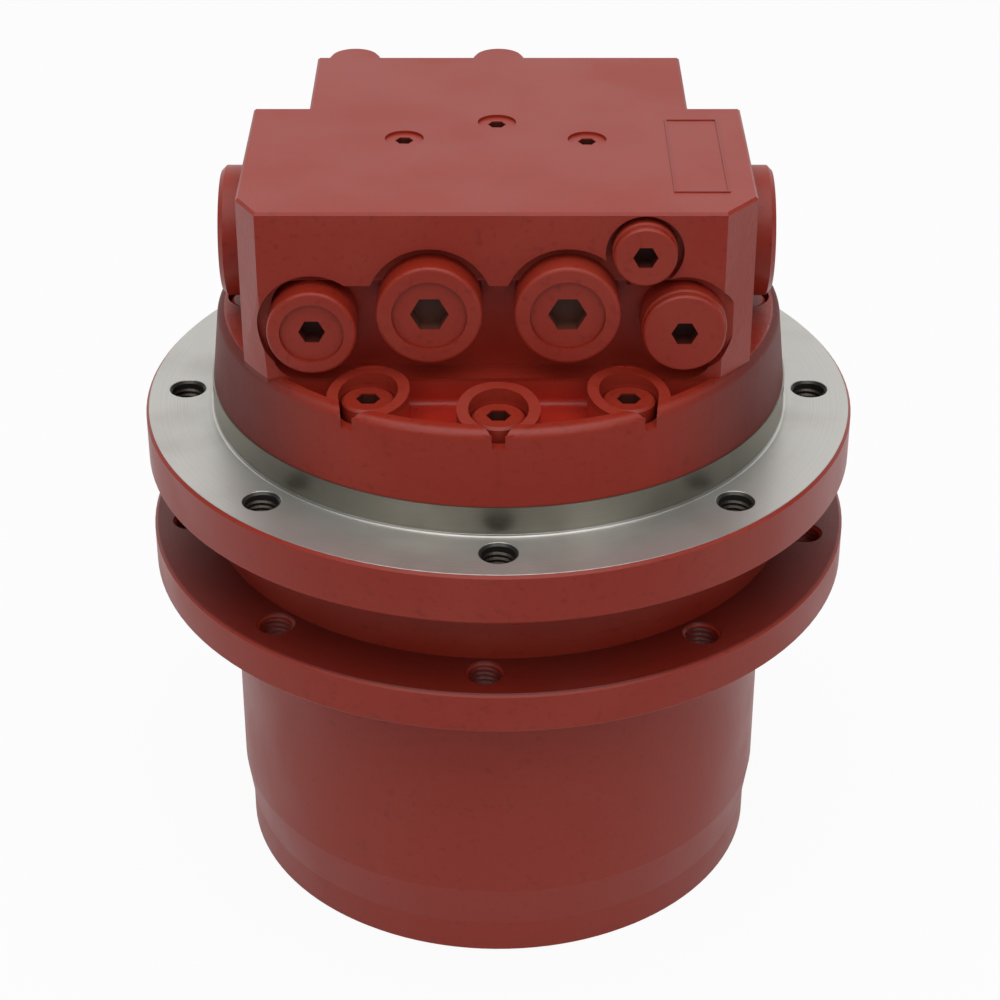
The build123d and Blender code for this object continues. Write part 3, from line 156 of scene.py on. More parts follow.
class Board:
    """A material's or world's node tree."""

    def __init__(self, owner: bpy.types.Material | bpy.types.World) -> None:
        """Clear the owner's node tree and keep it."""
        owner.use_nodes = True
        self.tree = owner.node_tree
        self.tree.nodes.clear()

    def add(self, kind: str, settings: dict[str, Any], values: dict[Any, Any], output: Any = 0) -> Socket:
        """Add a node, set it up and link it.

        Args:
            kind: The node's type name.
            settings: Properties of the node, set first.
            values: Values or sockets for its inputs, by name or number.
            output: Name or number of the output to return.

        Returns:
            The wrapped output socket.
        """
        node = self.tree.nodes.new(kind)
        for name, value in settings.items():
            setattr(node, name, value)
        for name, value in values.items():
            if isinstance(value, Socket):
                self.tree.links.new(value.link, node.inputs[name])
            else:
                node.inputs[name].default_value = value
        return Socket(self, node.outputs[output] if node.outputs else None)

    def place(self) -> Socket:
        """Object coordinates."""
        return self.add("ShaderNodeTexCoord", {}, {}, "Object")

    def axes(self, place: Socket) -> tuple[Socket, Socket, Socket]:
        """X, Y and Z of a vector."""
        node = self.tree.nodes.new("ShaderNodeSeparateXYZ")
        self.tree.links.new(place.link, node.inputs[0])
        return tuple(Socket(self, output) for output in node.outputs)

    def noise(self, place: Socket, scale: float, detail: float = 2.0) -> Socket:
        """Noise value from 0 to 1.

        Args:
            place: Coordinates that it follows.
            scale: Cells per metre.
            detail: Number of finer layers.

        Returns:
            The noise.
        """
        return self.add("ShaderNodeTexNoise", {}, {"Vector": place, "Scale": scale, "Detail": detail})

    def mix(self, factor: Any, first: Any, second: Any) -> Socket:
        """Colour between two colours.

        Args:
            factor: 0 for the first colour, 1 for the second.
            first: Colour or socket.
            second: Colour or socket.

        Returns:
            The mixed colour.
        """
        pair = [colour if isinstance(colour, Socket) else (*colour, 1.0) for colour in (first, second)]
        return self.add("ShaderNodeMix", {"data_type": "RGBA"}, {0: factor, 6: pair[0], 7: pair[1]}, 2)

    def rings(self, place: Socket, scale: float) -> Socket:
        """Noise in fine rings about the shaft, as a turning tool leaves them.

        Args:
            place: Coordinates that it follows.
            scale: Rings per metre.

        Returns:
            The noise from 0 to 1.
        """
        x, y, height = self.axes(place)
        path = (x * x + y * y) ** 0.5 + height
        values = {"W": path, "Scale": scale, "Detail": 2.0}
        return self.add("ShaderNodeTexNoise", {"noise_dimensions": "1D"}, values)

    def bump(self, height: Socket) -> Socket:
        """Normal bent by a height in metres."""
        return self.add("ShaderNodeBump", {}, {"Height": height, "Distance": 1.0, "Strength": 1.0})

    def surface(self, values: dict[str, Any]) -> None:
        """End the tree with one Principled shader.

        Args:
            values: Values or sockets for its inputs.
        """
        shader = self.add("ShaderNodeBsdfPrincipled", {}, values)
        self.add("ShaderNodeOutputMaterial", {}, {"Surface": shader})


class Relief(Enum):
    """How deep the skin under the paint is: the cast grain and the turning marks, in metres."""

    CAST = (0.00016, 0.00001)
    TURNED = (0.00004, 0.00003)
    SMOOTH = (0.00002, 0.0)


@dataclass(frozen=True)
class Layers:
    """Sockets that make up one finish."""

    colour: Socket
    roughness: Socket
    height: Socket


@dataclass(frozen=True)
class Paint:
    """Oxide red paint over cast or turned iron."""

    name: str
    relief: Relief
    colour: Colour = srgb(147, 39, 22)
    pale: Colour = srgb(152, 52, 35)
    deep: Colour = srgb(108, 22, 15)
    roughness: float = 0.40
    sheen: float = 0.45

    def layers(self, board: Board, place: Socket) -> Layers:
        """Blotchy paint with a fine orange peel and the grain of the metal under it.

        Args:
            board: The node tree to add to.
            place: Coordinates that the paint follows.

        Returns:
            The finish.
        """
        blotch = board.noise(place, 28.0, 3.0).ramp(0.35, 0.7)
        speck = board.noise(place, 420.0, 2.0).ramp(0.55, 0.75)
        colour = board.mix(blotch * 0.45, self.colour, self.pale)
        colour = board.mix(speck * 0.35, colour, self.deep)
        roughness = self.roughness + blotch * 0.10 - speck * 0.05
        cast_depth, ring_depth = self.relief.value
        grain = (board.noise(place, 700.0, 3.0) * 0.6 + board.noise(place, 190.0, 2.0)) * cast_depth
        return Layers(colour, roughness, grain + board.rings(place, 1100.0) * ring_depth)

    def make(self) -> bpy.types.Material:
        """The finish as a material.

        Returns:
            The material.
        """
        material = bpy.data.materials.new(self.name)
        board = Board(material)
        finish = self.layers(board, board.place())
        board.surface(
            {
                "Base Color": finish.colour,
                "Roughness": finish.roughness,
                "Specular IOR Level": self.sheen,
                "Normal": board.bump(finish.height),
            }
        )
        return material


@dataclass(frozen=True)
class BodyPaint(Paint):
    """Paint of the motor body: glossy in the front pocket, turned on the drum, milled on top; painted light
    in the pocket and on the trough floor, painted shade on the drum's sides.
    """

    ledge: float = 0.0
    top: float = 0.0
    pocket_radius: float = 0.0
    pocket_half: float = 67.5 * MM
    pocket_depth: float = 9.5 * MM
    pocket_rise: float = 31.5 * MM
    trough_radius: float = 86.0 * MM
    trough_depth: float = 10.0 * MM
    front: float = 0.0
    edge: float = 1.0 * MM
    seam_half: float = 0.5 * MM
    # The drum darkens between these distances from the middle: painted shade on its sides.
    side_shade_from: float = 40.0 * MM
    side_shade_to: float = 80.0 * MM
    # Lighter red put into the front pocket: painted light against the shade of the recess.
    pocket_painted_light_colour: Colour = srgb(176, 54, 40)
    # Bright red on the trough floor: painted light.
    trough_painted_light_colour: Colour = srgb(190, 40, 25)
    # Dark red of the painted shade on the drum's sides.
    side_painted_shade_colour: Colour = srgb(72, 15, 9)

    def layers(self, board: Board, place: Socket) -> Layers:
        """The cast paint, changed by where it lies on the body.

        Args:
            board: The node tree to add to.
            place: Coordinates that the paint follows.

        Returns:
            The finish.
        """
        cast = super().layers(board, place)
        x, y, height = board.axes(place)
        radius = (x * x + y * y) ** 0.5
        behind = (y > self.front + 0.4 * MM) * (y < self.front + self.pocket_depth)
        pocket = behind * (height < self.ledge + self.pocket_rise)
        below = (height < self.ledge - self.edge) * (radius < self.trough_radius)
        trough = (y < self.front + 0.5 * MM) * below
        glossy_lit_pocket = (pocket | trough) * (height > self.ledge - self.trough_depth) * (x * x < self.pocket_half**2)
        milled = height > self.top - self.edge
        drum = (height < self.ledge) * (radius > self.pocket_radius)
        seam = drum * (y < 0.0) * (1 - (x * x).ramp(0.0, self.seam_half**2))
        # Painted shade: the drum darkens towards its left and right sides.
        side = drum * (x * x).ramp(self.side_shade_from**2, self.side_shade_to**2)
        # Painted light: the pocket and trough move towards a lighter red. Their lower roughness below is the
        # real gloss of the paint.
        colour = board.mix(glossy_lit_pocket * 0.6, cast.colour, self.pocket_painted_light_colour)
        # Painted light on the trough floor, growing towards its bottom.
        low = trough * (1 - height.ramp(self.ledge - self.trough_depth + self.edge, self.ledge - self.edge))
        colour = board.mix(low * 0.6, colour, self.trough_painted_light_colour)
        colour = board.mix(side * 0.65, colour, self.side_painted_shade_colour)
        roughness = cast.roughness * (1 - glossy_lit_pocket * 0.25) + side * 0.18
        grain = cast.height * (1 - milled * 0.9 - drum * 0.55)
        streaks = board.rings(place, 700.0) * drum * (0.06 * MM)
        return Layers(colour, roughness, grain + streaks + seam * (0.12 * MM))


@dataclass(frozen=True)
class ShadedFacePaint(Paint):
    """Paint with painted shade on a flat face at a given height: a deeper tone where the flange above shades
    it.
    """

    face: float = 0.0
    half: float = 0.4 * MM
    tone: Colour = srgb(86, 18, 12)
    shade_share: float = 0.7

    def layers(self, board: Board, place: Socket) -> Layers:
        """The plain paint, toned at the height of the face.

        Args:
            board: The node tree to add to.
            place: Coordinates that the paint follows.

        Returns:
            The finish.
        """
        plain = super().layers(board, place)
        height = board.axes(place)[2]
        # Painted shade on the face that lies under the frame flange.
        level = (height > self.face - self.half) * (height < self.face + self.half)
        return Layers(board.mix(level * self.shade_share, plain.colour, self.tone), plain.roughness, plain.height)


@dataclass(frozen=True)
class SocketPaint(Paint):
    """Paint with bare, oily hexagon sockets round the given axes."""

    centres: tuple[tuple[float, float, float], ...] = ()
    forward: bool = True
    reach: float = 4.0 * MM
    dark: Colour = srgb(42, 26, 21)

    def layers(self, board: Board, place: Socket) -> Layers:
        """The smooth paint, dark inside each socket.

        Args:
            board: The node tree to add to.
            place: Coordinates that the paint follows.

        Returns:
            The finish.
        """
        smooth = super().layers(board, place)
        x, y, height = board.axes(place)
        inside = None
        for across, depth, rise in self.centres:
            side = x - across
            up = height - rise if self.forward else y - depth
            within = side * side + up * up < self.reach**2
            sunk = (y > depth + 0.4 * MM) if self.forward else (height < rise - 0.4 * MM)
            mask = within * sunk
            inside = mask if inside is None else inside | mask
        colour = board.mix(inside * 0.85, smooth.colour, self.dark)
        return Layers(colour, smooth.roughness, smooth.height)


@dataclass(frozen=True)
class TurnedIron:
    """Bare turned iron with fine rings and faint stains."""

    name: str
    metal: Colour = srgb(200, 198, 193)
    stain: Colour = srgb(150, 142, 132)

    def layers(self, board: Board, place: Socket) -> Layers:
        """Rings of tone, polish and relief about the shaft.

        Args:
            board: The node tree to add to.
            place: Coordinates that the metal follows.

        Returns:
            The finish.
        """
        blotch = board.noise(place, 40.0, 3.0).ramp(0.4, 0.75)
        ring = board.rings(place, 2600.0)
        colour = board.mix(blotch * 0.30 + ring.ramp(0.4, 0.8) * 0.20, self.metal, self.stain)
        return Layers(colour, 0.30 + ring * 0.16, ring * (0.012 * MM))

    def make(self) -> bpy.types.Material:
        """The finish as a material.

        Returns:
            The material.
        """
        material = bpy.data.materials.new(self.name)
        board = Board(material)
        finish = self.layers(board, board.place())
        board.surface(
            {
                "Base Color": finish.colour,
                "Metallic": 1.0,
                "Roughness": finish.roughness,
                "Normal": board.bump(finish.height),
            }
        )
        return material


@dataclass(frozen=True)
class FlangeSkin:
    """Bare turned iron on the frame flange's face, red paint on its rim and underside, painted shade in its
    tapped holes.
    """

    name: str
    paint: Paint
    iron: TurnedIron
    face_height: float
    edge_radius: float
    rim_width: float = 6.0 * MM
    bare_depth: float = 16.0 * MM
    hole_inner: float = 94.0 * MM
    hole_outer: float = 109.5 * MM
    neck_radius: float = 85.0 * MM
    # Dark colour inside the tapped holes: painted shade, which also dulls their reflections.
    oil: Colour = srgb(40, 35, 31)

    def make(self) -> bpy.types.Material:
        """Paint by height and radius.

        Returns:
            The material.
        """
        material = bpy.data.materials.new(self.name)
        board = Board(material)
        place = board.place()
        x, y, height = board.axes(place)
        radius = (x * x + y * y) ** 0.5
        edge = radius > self.edge_radius
        rim = (radius > self.edge_radius - self.rim_width) * (height < self.face_height - 0.3 * MM)
        hole = (radius > self.hole_inner) * (radius < self.hole_outer)
        under = (height < self.face_height - self.bare_depth) * (1 - hole) * (radius > self.neck_radius)
        painted = edge | rim | under
        bare = self.iron.layers(board, place)
        red = self.paint.layers(board, place)
        # Painted shade: the tapped holes are darkened below the face.
        shaded_hole = hole * (height < self.face_height - 0.15 * MM)
        metal = board.mix(shaded_hole * 0.9, bare.colour, self.oil)
        board.surface(
            {
                "Base Color": board.mix(painted, metal, red.colour),
                "Metallic": (1 - painted) * 0.75,
                "Roughness": (1 - painted) * bare.roughness + painted * red.roughness,
                "Normal": board.bump((1 - painted) * bare.height + painted * red.height),
            }
        )
        return material


@dataclass(frozen=True)
class Metal:
    """Ground steel, bronze and the like, for the pieces inside."""

    name: str
    colour: Colour
    shade: Colour
    roughness: float
    metallic: float = 1.0

    def make(self) -> bpy.types.Material:
        """Metal with a fine grind and faint oil stains.

        Returns:
            The material.
        """
        material = bpy.data.materials.new(self.name)
        board = Board(material)
        place = board.place()
        stain = board.noise(place, 60.0, 3.0).ramp(0.4, 0.7)
        grind = board.noise(place, 1800.0, 2.0)
        board.surface(
            {
                "Base Color": board.mix(stain * 0.5, self.colour, self.shade),
                "Metallic": self.metallic,
                "Roughness": self.roughness + grind * 0.12,
                "Normal": board.bump(grind * (0.01 * MM)),
            }
        )
        return material


def grid_object(name: str, points: np.ndarray, closed: bool) -> bpy.types.Object:
    """Mesh object of quads between the neighbours of a grid of points, with both ends capped.

    Args:
        name: The object's name.
        points: Tubes as an array (tube, row, column, 3); the columns wrap round.
        closed: Whether the rows wrap round too; if not, the first and last row become faces.

    Returns:
        The object, linked to the scene.
    """
    tubes, rows, columns = points.shape[:3]
    index = np.arange(tubes * rows * columns).reshape(tubes, rows, columns)
    across = np.concatenate([index, index[:, :, :1]], axis=2)
    if closed:
        across = np.concatenate([across, across[:, :1]], axis=1)
    near = across[:, :-1]
    far = across[:, 1:]
    quads = np.stack([near[..., :-1], far[..., :-1], far[..., 1:], near[..., 1:]], axis=-1)
    faces = quads.reshape(-1, 4).tolist()
    if not closed:
        faces += index[:, 0].tolist() + index[:, -1, ::-1].tolist()
    mesh = bpy.data.meshes.new(name)
    mesh.from_pydata(points.reshape(-1, 3).tolist(), [], faces)
    shell = bmesh.new()
    shell.from_mesh(mesh)
    bmesh.ops.recalc_face_normals(shell, faces=shell.faces)
    shell.to_mesh(mesh)
    shell.free()
    piece = bpy.data.objects.new(name, mesh)
    bpy.context.scene.collection.objects.link(piece)
    return piece


@dataclass
class ThreadRing:
    """Screw threads that stand in the tapped holes of one flange."""

    name: str
    body: str
    count: int
    circle_radius: float
    start_degrees: float
    low: float
    high: float
    bore: float = 5.2 * MM
    ridge: float = 0.5 * MM
    pitch: float = 1.75 * MM
    steps_per_turn: int = 28

    def build(self, material: bpy.types.Material) -> bpy.types.Object:
        """A triangular ridge carried along a helix in each hole.

        Along the helix the angle grows evenly and the height grows by one pitch a turn. The ridge's
        section is a triangle with its base sunk in the wall and its crest towards the hole's axis.

        Args:
            material: Finish of the threads.

        Returns:
            The object, riding on the flange's body.
        """
        turns = (self.high - self.low - self.pitch) / self.pitch
        angle = np.linspace(0, 2 * math.pi * turns, int(turns * self.steps_per_turn))
        rise = self.low + self.pitch / 2 + angle / (2 * math.pi) * self.pitch
        wall = self.bore + 0.1 * MM
        section_radius = np.array([wall, self.bore - self.ridge, wall])
        section_rise = np.array([-0.4, 0.0, 0.4]) * self.pitch
        holes = np.radians(self.start_degrees + np.arange(self.count) * 360 / self.count)
        centre = np.stack([np.cos(holes), np.sin(holes)], axis=-1) * self.circle_radius
        across = np.stack([np.cos(angle), np.sin(angle)], axis=-1)
        flat = centre[:, None, None, :] + across[None, :, None, :] * section_radius[None, None, :, None]
        upward = np.broadcast_to(rise[:, None] + section_rise, (self.count, len(angle), 3))
        points = np.concatenate([flat, upward[..., None]], axis=-1)
        piece = grid_object(self.name, points, closed=False)
        piece.data.materials.append(material)
        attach(piece, self.body)
        return piece


@dataclass
class PlateFrame:
    """Raised blank outline on the top face, where a plate's text is left bare."""

    left: float = 52.6 * MM
    right: float = 68.6 * MM
    front: float = -41.3 * MM
    rear: float = 14.3 * MM
    width: float = 0.8 * MM
    rise: float = 0.3 * MM

    def build(self, floor: float, material: bpy.types.Material) -> bpy.types.Object:
        """A square bar carried round the four corners of a rectangle.

        Args:
            floor: Height of the face it lies on.
            material: Its finish.

        Returns:
            The object, riding on the casing.
        """
        corner_x = np.array([self.left, self.right, self.right, self.left])
        corner_y = np.array([self.front, self.front, self.rear, self.rear])
        outward_x = np.array([-1, 1, 1, -1])
        outward_y = np.array([-1, -1, 1, 1])
        spread = np.array([-0.5, 0.5, 0.5, -0.5]) * self.width
        upward = floor + np.array([-0.5, -0.5, 1.0, 1.0]) * self.rise
        x = corner_x[:, None] + outward_x[:, None] * spread
        y = corner_y[:, None] + outward_y[:, None] * spread
        points = np.stack([x, y, np.broadcast_to(upward, x.shape)], axis=-1)[None]
        piece = grid_object("plate_frame", points, closed=True)
        piece.data.materials.append(material)
        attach(piece, "casing")
        return piece


@dataclass
class CornerFillet:
    """Fillet at the foot of the pilot, where the turning tool left its radius, in a lighter copy of the iron
    as a painted highlight.
    """

    pilot_radius: float = 93.0 * MM
    size: float = 0.9 * MM
    steps_round: int = 240
    steps_arc: int = 8

    def build(self, floor: float, material: bpy.types.Material) -> bpy.types.Object:
        """A hollow arc between wall and face, carried round the shaft.

        Args:
            floor: Height of the flange face.
            material: Its finish.

        Returns:
            The object, riding on the casing.
        """
        turn = np.linspace(math.pi, 1.5 * math.pi, self.steps_arc)
        radius = np.append(self.pilot_radius + self.size * (1 + np.cos(turn)), self.pilot_radius - 0.2 * MM)
        height = np.append(floor + self.size * (1 + np.sin(turn)), floor - 0.2 * MM)
        angle = np.linspace(0, 2 * math.pi, self.steps_round, endpoint=False)
        points = np.stack(
            [
                np.cos(angle)[:, None] * radius,
                np.sin(angle)[:, None] * radius,
                np.broadcast_to(height, (self.steps_round, len(height))),
            ],
            axis=-1,
        )
        piece = grid_object("pilot_fillet", points[None], closed=True)
        piece.data.shade_smooth()
        piece.data.materials.append(material)
        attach(piece, "casing")
        return piece


@dataclass
class CoilSpring:
    """Compression spring between a spool and the casing."""

    name: str
    node: str
    spool: str
    start: tuple[float, float, float]
    way: tuple[float, float, float]
    length: float
    radius: float
    wire: float
    turns: int = 4
    steps_per_turn: int = 40
    steps_round: int = 14

    def build(self, material: bpy.types.Material) -> bpy.types.Object:
        """A round wire carried along a helix.

        At each step the section is a circle in the plane of the outward radius and of the vector
        that is square to both the radius and the helix.

        Args:
            material: Finish of the wire.

        Returns:
            The object, which stands for its node.
        """
        way = np.array(self.way)
        side = np.array([0.0, 0.0, 1.0])
        third = np.cross(way, side)
        angle = np.linspace(0, 2 * math.pi * self.turns, self.turns * self.steps_per_turn + 1)[:, None]
        height = self.length - 2 * self.wire
        outward = np.cos(angle) * side + np.sin(angle) * third
        around = np.cos(angle) * third - np.sin(angle) * side
        lead = height / (2 * math.pi * self.turns)
        middle = np.array(self.start) + way * (self.wire + lead * angle) + outward * self.radius
        tangent = (around * self.radius + way * lead) / math.hypot(self.radius, lead)
        square = np.cross(tangent, outward)
        turn = np.linspace(0, 2 * math.pi, self.steps_round, endpoint=False)[:, None]
        section = np.cos(turn) * outward[:, None] + np.sin(turn) * square[:, None]
        points = middle[:, None] + section * self.wire
        piece = grid_object(self.name, points[None], closed=False)
        piece.data.shade_smooth()
        piece.data.materials.append(material)
        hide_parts(self.node)
        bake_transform(piece)
        return piece


@dataclass
class DiscSpring:
    """Sprung cone washer between the brake piston and the motor body."""

    inner_radius: float = 40.0 * MM
    outer_radius: float = 51.0 * MM
    thickness: float = 1.4 * MM
    steps_round: int = 160

    def build(self, material: bpy.types.Material) -> bpy.types.Object:
        """A flat section, low at its outer edge, carried round the shaft.

        Args:
            material: Finish of the washer.

        Returns:
            The object, which stands for its node.
        """
        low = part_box("brake_spring")[0].z
        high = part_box("brake_spring")[1].z
        radius = np.array([self.inner_radius, self.outer_radius, self.outer_radius, self.inner_radius])
        height = np.array([high - self.thickness, low, low + self.thickness, high])
        angle = np.linspace(0, 2 * math.pi, self.steps_round, endpoint=False)[:, None]
        upward = np.broadcast_to(height, (self.steps_round, 4))
        points = np.stack([np.cos(angle) * radius, np.sin(angle) * radius, upward], axis=-1)
        piece = grid_object("sprung_washer", points[None], closed=True)
        piece.data.materials.append(material)
        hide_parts("brake_spring")
        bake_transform(piece)
        return piece


class Dresser:
    """Gives every node of the frame its finish."""

    STEEL = (
        "bearing_lock_nut brake_piston brake_separator_plates brake_spring control_piston "
        "counterbalance_spool counterbalance_springs cover_snap_ring cylinder_block drive_shaft "
        "first_carrier first_planet_a first_planet_b first_planet_c first_stage_pins "
        "front_shaft_bearing input_sun main_bearing_balls "
        "main_bearing_inner_rings main_bearing_outer_rings oil_plugs pistons rear_shaft_bearing ring_gear "
        "seal_ring_fixed seal_ring_turning second_planet_a second_planet_b second_planet_c second_stage_pins "
        "second_sun shoe_retainer swash_pivot_balls swash_plate two_speed_spool two_speed_spring"
    )
    BRONZE = (
        "brake_friction_discs first_stage_bushes main_bearing_cages second_stage_bushes "
        "slipper_shoes valve_plate"
    )
    RUBBER = "body_o_ring cover_o_ring seal_o_ring_fixed seal_o_ring_turning shaft_oil_seal"
    TURNED = "hub end_cover"
    NECK_HEIGHT = 23.0 * MM
    SCREW_DEGREES = (-90, -60, -120, 0, 180, 30, 150, 75, 105)
    SCREW_CIRCLE = 78.0 * MM
    MAIN_PORTS = ((-20.5 * MM, 223.0 * MM), (20.5 * MM, 223.0 * MM))
    DRAIN_PORT = (-55.7 * MM, 216.5 * MM)
    SMALL_REACH = 4.4 * MM
    MAIN_REACH = 6.2 * MM
    ORIFICES = ((-29.3 * MM, -0.3 * MM), (-0.5 * MM, 12.7 * MM), (27.5 * MM, -1.1 * MM))

    def __init__(self) -> None:
        """Make the finishes."""
        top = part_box("motor_body")[1].z
        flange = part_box("spindle_flange")[1]
        neck_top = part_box("sprocket_flange")[1].z
        turned = Paint("turned_red_paint", Relief.TURNED)
        iron = TurnedIron("turned_iron")
        self.finishes = {
            self.STEEL: Metal("ground_steel", srgb(190, 190, 192), srgb(150, 148, 146), 0.26),
            self.BRONZE: Metal("bearing_bronze", srgb(186, 140, 84), srgb(142, 100, 60), 0.34),
            self.RUBBER: Metal("nitrile_rubber", srgb(34, 33, 33), srgb(48, 46, 45), 0.62, metallic=0.0),
            self.TURNED: turned,
            # The sprocket flange's upper face, under the frame flange, takes painted shade.
            "sprocket_flange": ShadedFacePaint("flange_shaded_red_paint", Relief.TURNED, face=neck_top - self.NECK_HEIGHT),
            "motor_body": BodyPaint(
                "cast_red_paint",
                Relief.CAST,
                ledge=199.0 * MM,
                top=top,
                pocket_radius=88.0 * MM,
                front=-56.7 * MM,
            ),
            "spindle_flange": FlangeSkin("flange_skin", turned, iron, flange.z, flange.x - 0.9 * MM),
            # The pilot ring is a darker copy of the turned iron: painted shade.
            "pilot_ring": TurnedIron("pilot_shaded_iron", metal=srgb(170, 167, 156), stain=srgb(122, 117, 106)),
            "counterbalance_caps": Paint("smooth_red_paint", Relief.SMOOTH, roughness=0.36),
        }
        self.finishes.update(self._plugs())
        self.spring_steel = Metal("spring_steel", srgb(150, 152, 156), srgb(112, 110, 108), 0.28).make()
        self.thread_steel = Metal("thread_steel", srgb(104, 97, 90), srgb(58, 50, 45), 0.40).make()
        # Darker red of the threads in the sprocket flange's holes: painted shade.
        self.shaded_thread_red = Paint("shaded_thread_red_paint", Relief.SMOOTH, colour=srgb(84, 26, 21)).make()
        # A lighter copy of the turned iron: painted highlight on the pilot's fillet.
        self.fillet_highlight_iron = TurnedIron("fillet_highlight_iron", metal=srgb(214, 212, 207)).make()
        self.frame_red = Paint("frame_red_paint", Relief.SMOOTH, colour=srgb(138, 36, 23)).make()

    def _plugs(self) -> dict[str, Paint]:
        """Paint of the screws and plugs, with the place of each hexagon socket.

        Returns:
            The finish of each node.
        """
        screw_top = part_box("body_screws")[1].z
        orifice_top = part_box("top_orifice_plugs")[1].z
        angles = [math.radians(degrees) for degrees in self.SCREW_DEGREES]
        circle = self.SCREW_CIRCLE
        screws = tuple((circle * math.cos(a), circle * math.sin(a), screw_top) for a in angles)
        orifices = tuple((x, y, orifice_top) for x, y in self.ORIFICES)
        faces = {name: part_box(name)[0].y for name in ("main_port_plugs", "drain_port_plug")}
        mains = tuple((x, faces["main_port_plugs"], z) for x, z in self.MAIN_PORTS)
        drains = ((self.DRAIN_PORT[0], faces["drain_port_plug"], self.DRAIN_PORT[1]),)
        smooth = Relief.SMOOTH
        main_dark = srgb(78, 56, 45)
        finishes = {
            "body_screws": SocketPaint("screw_paint", smooth, centres=screws, forward=False),
            "top_orifice_plugs": SocketPaint("orifice_paint", smooth, centres=orifices, forward=False),
            "main_port_plugs": SocketPaint(
                "main_plug_paint", smooth, centres=mains, reach=self.MAIN_REACH, dark=main_dark
            ),
            "drain_port_plug": SocketPaint(
                "drain_plug_paint", smooth, centres=drains, reach=self.SMALL_REACH
            ),
        }
        for name in ("pilot_port_plug", "gauge_port_plug"):
            low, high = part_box(name)
            middle = ((low.x + high.x) / 2, low.y, (low.z + high.z) / 2)
            label = f"{name}_paint"
            finishes[name] = SocketPaint(label, smooth, centres=(middle,), reach=self.SMALL_REACH)
        return finishes

    def dress(self) -> None:
        """Put each finish on its nodes."""
        for names, finish in self.finishes.items():
            material = finish.make()
            for name in names.split():
                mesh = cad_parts[name].data
                mesh.materials.clear()
                mesh.materials.append(material)
                log.info("dressed %s in %s", name, material.name)


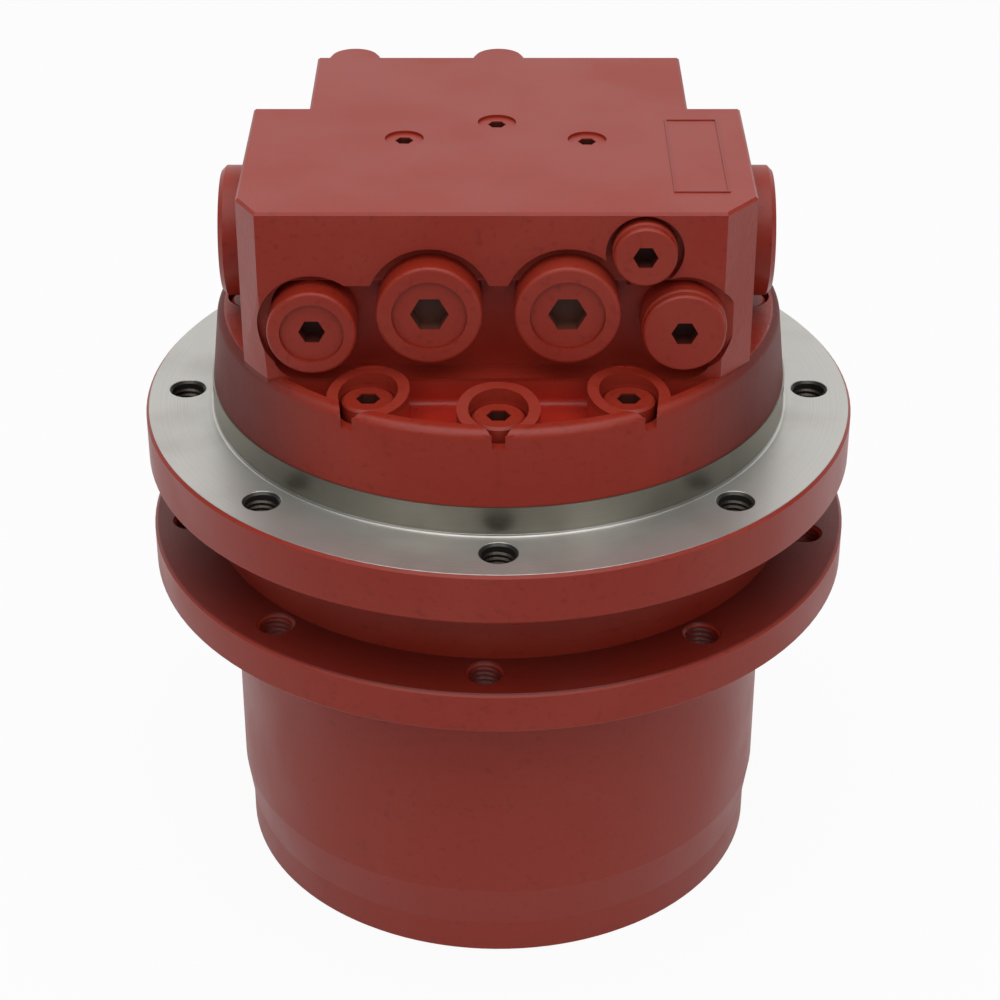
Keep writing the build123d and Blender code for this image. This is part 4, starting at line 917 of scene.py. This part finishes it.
@dataclass
class Studio:
    """Pale floor, soft overhead light and the camera of the photograph."""

    camera_place: tuple[float, float, float] = (0.0, -0.73927, 0.56286)
    camera_drop_degrees: float = 30.787
    lens: float = 91.88
    shift_x: float = 0.0015
    floor_half: float = 6.0

    def build(self) -> None:
        """Make the camera, floor, lamps and world."""
        self._camera()
        self._floor()
        self._lamp("overhead_softbox", (0.0, -0.35, 1.5), (0.0, 0.0, 0.1), 1.6, 13.0)
        self._lamp("left_softbox", (-0.72, -1.15, 1.0), (0.0, 0.0, 0.16), 0.45, 1.6)
        self._lamp("right_softbox", (0.72, -1.15, 1.0), (0.0, 0.0, 0.16), 0.45, 1.6)
        self._world()
        bpy.context.scene.view_settings.view_transform = "Standard"

    def _camera(self) -> None:
        """Camera at the photograph's viewing angle."""
        data = bpy.data.cameras.new("camera")
        data.lens = self.lens
        data.shift_x = self.shift_x
        camera = bpy.data.objects.new("camera", data)
        camera.location = self.camera_place
        camera.rotation_euler = (math.radians(90 - self.camera_drop_degrees), 0, 0)
        bpy.context.scene.collection.objects.link(camera)
        bpy.context.scene.camera = camera

    def _lamp(self, name: str, place: tuple, aim: tuple, size: float, watts: float) -> None:
        """Square area lamp turned towards a point.

        Args:
            name: Its name.
            place: Where it hangs.
            aim: The point it faces.
            size: Side of the square.
            watts: Its power.
        """
        data = bpy.data.lights.new(name, "AREA")
        data.size = size
        data.energy = watts
        lamp = bpy.data.objects.new(name, data)
        lamp.location = place
        way = np.array(aim) - np.array(place)
        flat = math.hypot(way[0], way[1])
        lamp.rotation_euler = (math.atan2(flat, -way[2]), 0, math.atan2(-way[0], way[1]))
        bpy.context.scene.collection.objects.link(lamp)

    def _floor(self) -> None:
        """Pale floor that looks white to the camera and keeps the object's shadow."""
        half = self.floor_half
        corners = [(-half, -half, 0), (half, -half, 0), (half, half, 0), (-half, half, 0)]
        mesh = bpy.data.meshes.new("floor")
        mesh.from_pydata(corners, [], [(0, 1, 2, 3)])
        floor = bpy.data.objects.new("floor", mesh)
        bpy.context.scene.collection.objects.link(floor)
        material = bpy.data.materials.new("pale_floor")
        board = Board(material)
        camera, mirrored = self._rays(board)
        depth = board.axes(board.place())[1]
        back = depth.ramp(-0.4, 0.15) * 0.8 + 0.2
        strength = camera + (1 - camera) * back
        matt = board.add("ShaderNodeBsdfDiffuse", {}, {"Color": (0.74, 0.74, 0.74, 1.0)})
        glow = board.add("ShaderNodeEmission", {}, {"Color": (1.0, 1.0, 1.0, 1.0), "Strength": strength})
        mixed = board.add("ShaderNodeMixShader", {}, {0: camera * 0.94 | mirrored, 1: matt, 2: glow})
        board.add("ShaderNodeOutputMaterial", {}, {"Surface": mixed})
        mesh.materials.append(material)

    def _world(self) -> None:
        """White to the camera, a soft grey dome to the object."""
        world = bpy.data.worlds.new("studio")
        bpy.context.scene.world = world
        board = Board(world)
        camera, mirrored = self._rays(board)
        way = board.axes(board.add("ShaderNodeTexCoord", {}, {}, "Generated"))
        rise = way[2].ramp(-0.1, 0.9)
        back = way[1].ramp(0.2, 0.8) * 0.92 + 0.08
        strength = camera + (1 - camera) * back
        plain = (1.0, 1.0, 1.0, 1.0)
        dome = board.add("ShaderNodeBackground", {}, {"Color": plain, "Strength": rise * 0.33 + 0.22})
        white = board.add("ShaderNodeBackground", {}, {"Color": plain, "Strength": strength})
        mixed = board.add("ShaderNodeMixShader", {}, {0: camera | mirrored, 1: dome, 2: white})
        board.add("ShaderNodeOutputWorld", {}, {"Surface": mixed})

    def _rays(self, board: Board) -> tuple[Socket, Socket]:
        """Masks of the camera's rays, and of the rays by which metal and glass show the backdrop.

        Args:
            board: The node tree to add to.

        Returns:
            The two masks.
        """
        camera = board.add("ShaderNodeLightPath", {}, {}, "Is Camera Ray")
        glossy = board.add("ShaderNodeLightPath", {}, {}, "Is Glossy Ray")
        through = board.add("ShaderNodeLightPath", {}, {}, "Is Transmission Ray")
        return camera, glossy | through


def build_threads(dresser: Dresser, frame_face: float) -> None:
    """Add the threads of both flanges.

    Args:
        dresser: Holder of the finishes.
        frame_face: Height of the frame flange's face.
    """
    deep = frame_face - 17 * MM
    shallow = frame_face - 1.2 * MM
    frame_ring = ThreadRing("frame_threads", "casing", 8, 102 * MM, -90.0, deep, shallow)
    sprocket_ring = ThreadRing("sprocket_threads", "hub", 9, 103 * MM, -92.3, 109 * MM, 122 * MM)
    for ring, finish, slot in (
        (frame_ring, dresser.thread_steel, "machined_iron"),
        (sprocket_ring, dresser.shaded_thread_red, "red_paint"),
    ):
        piece = ring.build(finish)
        log.info("built %s", piece.name)


def build_springs(dresser: Dresser) -> None:
    """Add the springs of both spools and of the brake.

    Args:
        dresser: Holder of the finishes.
    """
    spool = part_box("counterbalance_spool")
    low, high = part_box("two_speed_spring")
    gap = 0.05 * MM
    spool_y = -2.0 * MM
    spool_z = 223.0 * MM
    left = (spool[0].x - gap, spool_y, spool_z)
    right = (spool[1].x + gap, spool_y, spool_z)
    back = ((low.x + high.x) / 2, low.y, (low.z + high.z) / 2)
    centring = ("counterbalance_springs", "counterbalance_spool")
    returning = ("two_speed_spring", "two_speed_spool")
    springs = (
        CoilSpring("left_centring_spring", *centring, left, (-1, 0, 0), 22.95 * MM, 11.0 * MM, 1.3 * MM),
        CoilSpring("right_centring_spring", *centring, right, (1, 0, 0), 21.95 * MM, 11.0 * MM, 1.3 * MM),
        CoilSpring("return_spring", *returning, back, (0, 1, 0), 10.6 * MM, 3.4 * MM, 0.6 * MM),
        DiscSpring(),
    )
    for spring in springs:
        piece = spring.build(dresser.spring_steel)
        log.info("built %s", piece.name)


def build_trim(dresser: Dresser, frame_face: float) -> None:
    """Add the blank outline on the top face and the fillet at the foot of the pilot.

    Args:
        dresser: Holder of the finishes.
        frame_face: Height of the frame flange's face.
    """
    plate = PlateFrame().build(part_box("motor_body")[1].z, dresser.frame_red)
    fillet = CornerFillet().build(frame_face, dresser.fillet_highlight_iron)


def main() -> None:
    """Dress the nodes, add the pieces and set up the studio."""
    logging.basicConfig(level=logging.INFO, format="%(message)s")
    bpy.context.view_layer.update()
    dresser = Dresser()
    dresser.dress()
    frame_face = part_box("spindle_flange")[1].z
    build_threads(dresser, frame_face)
    build_springs(dresser)
    build_trim(dresser, frame_face)
    Studio().build()


if __name__ == "__main__":
    main()
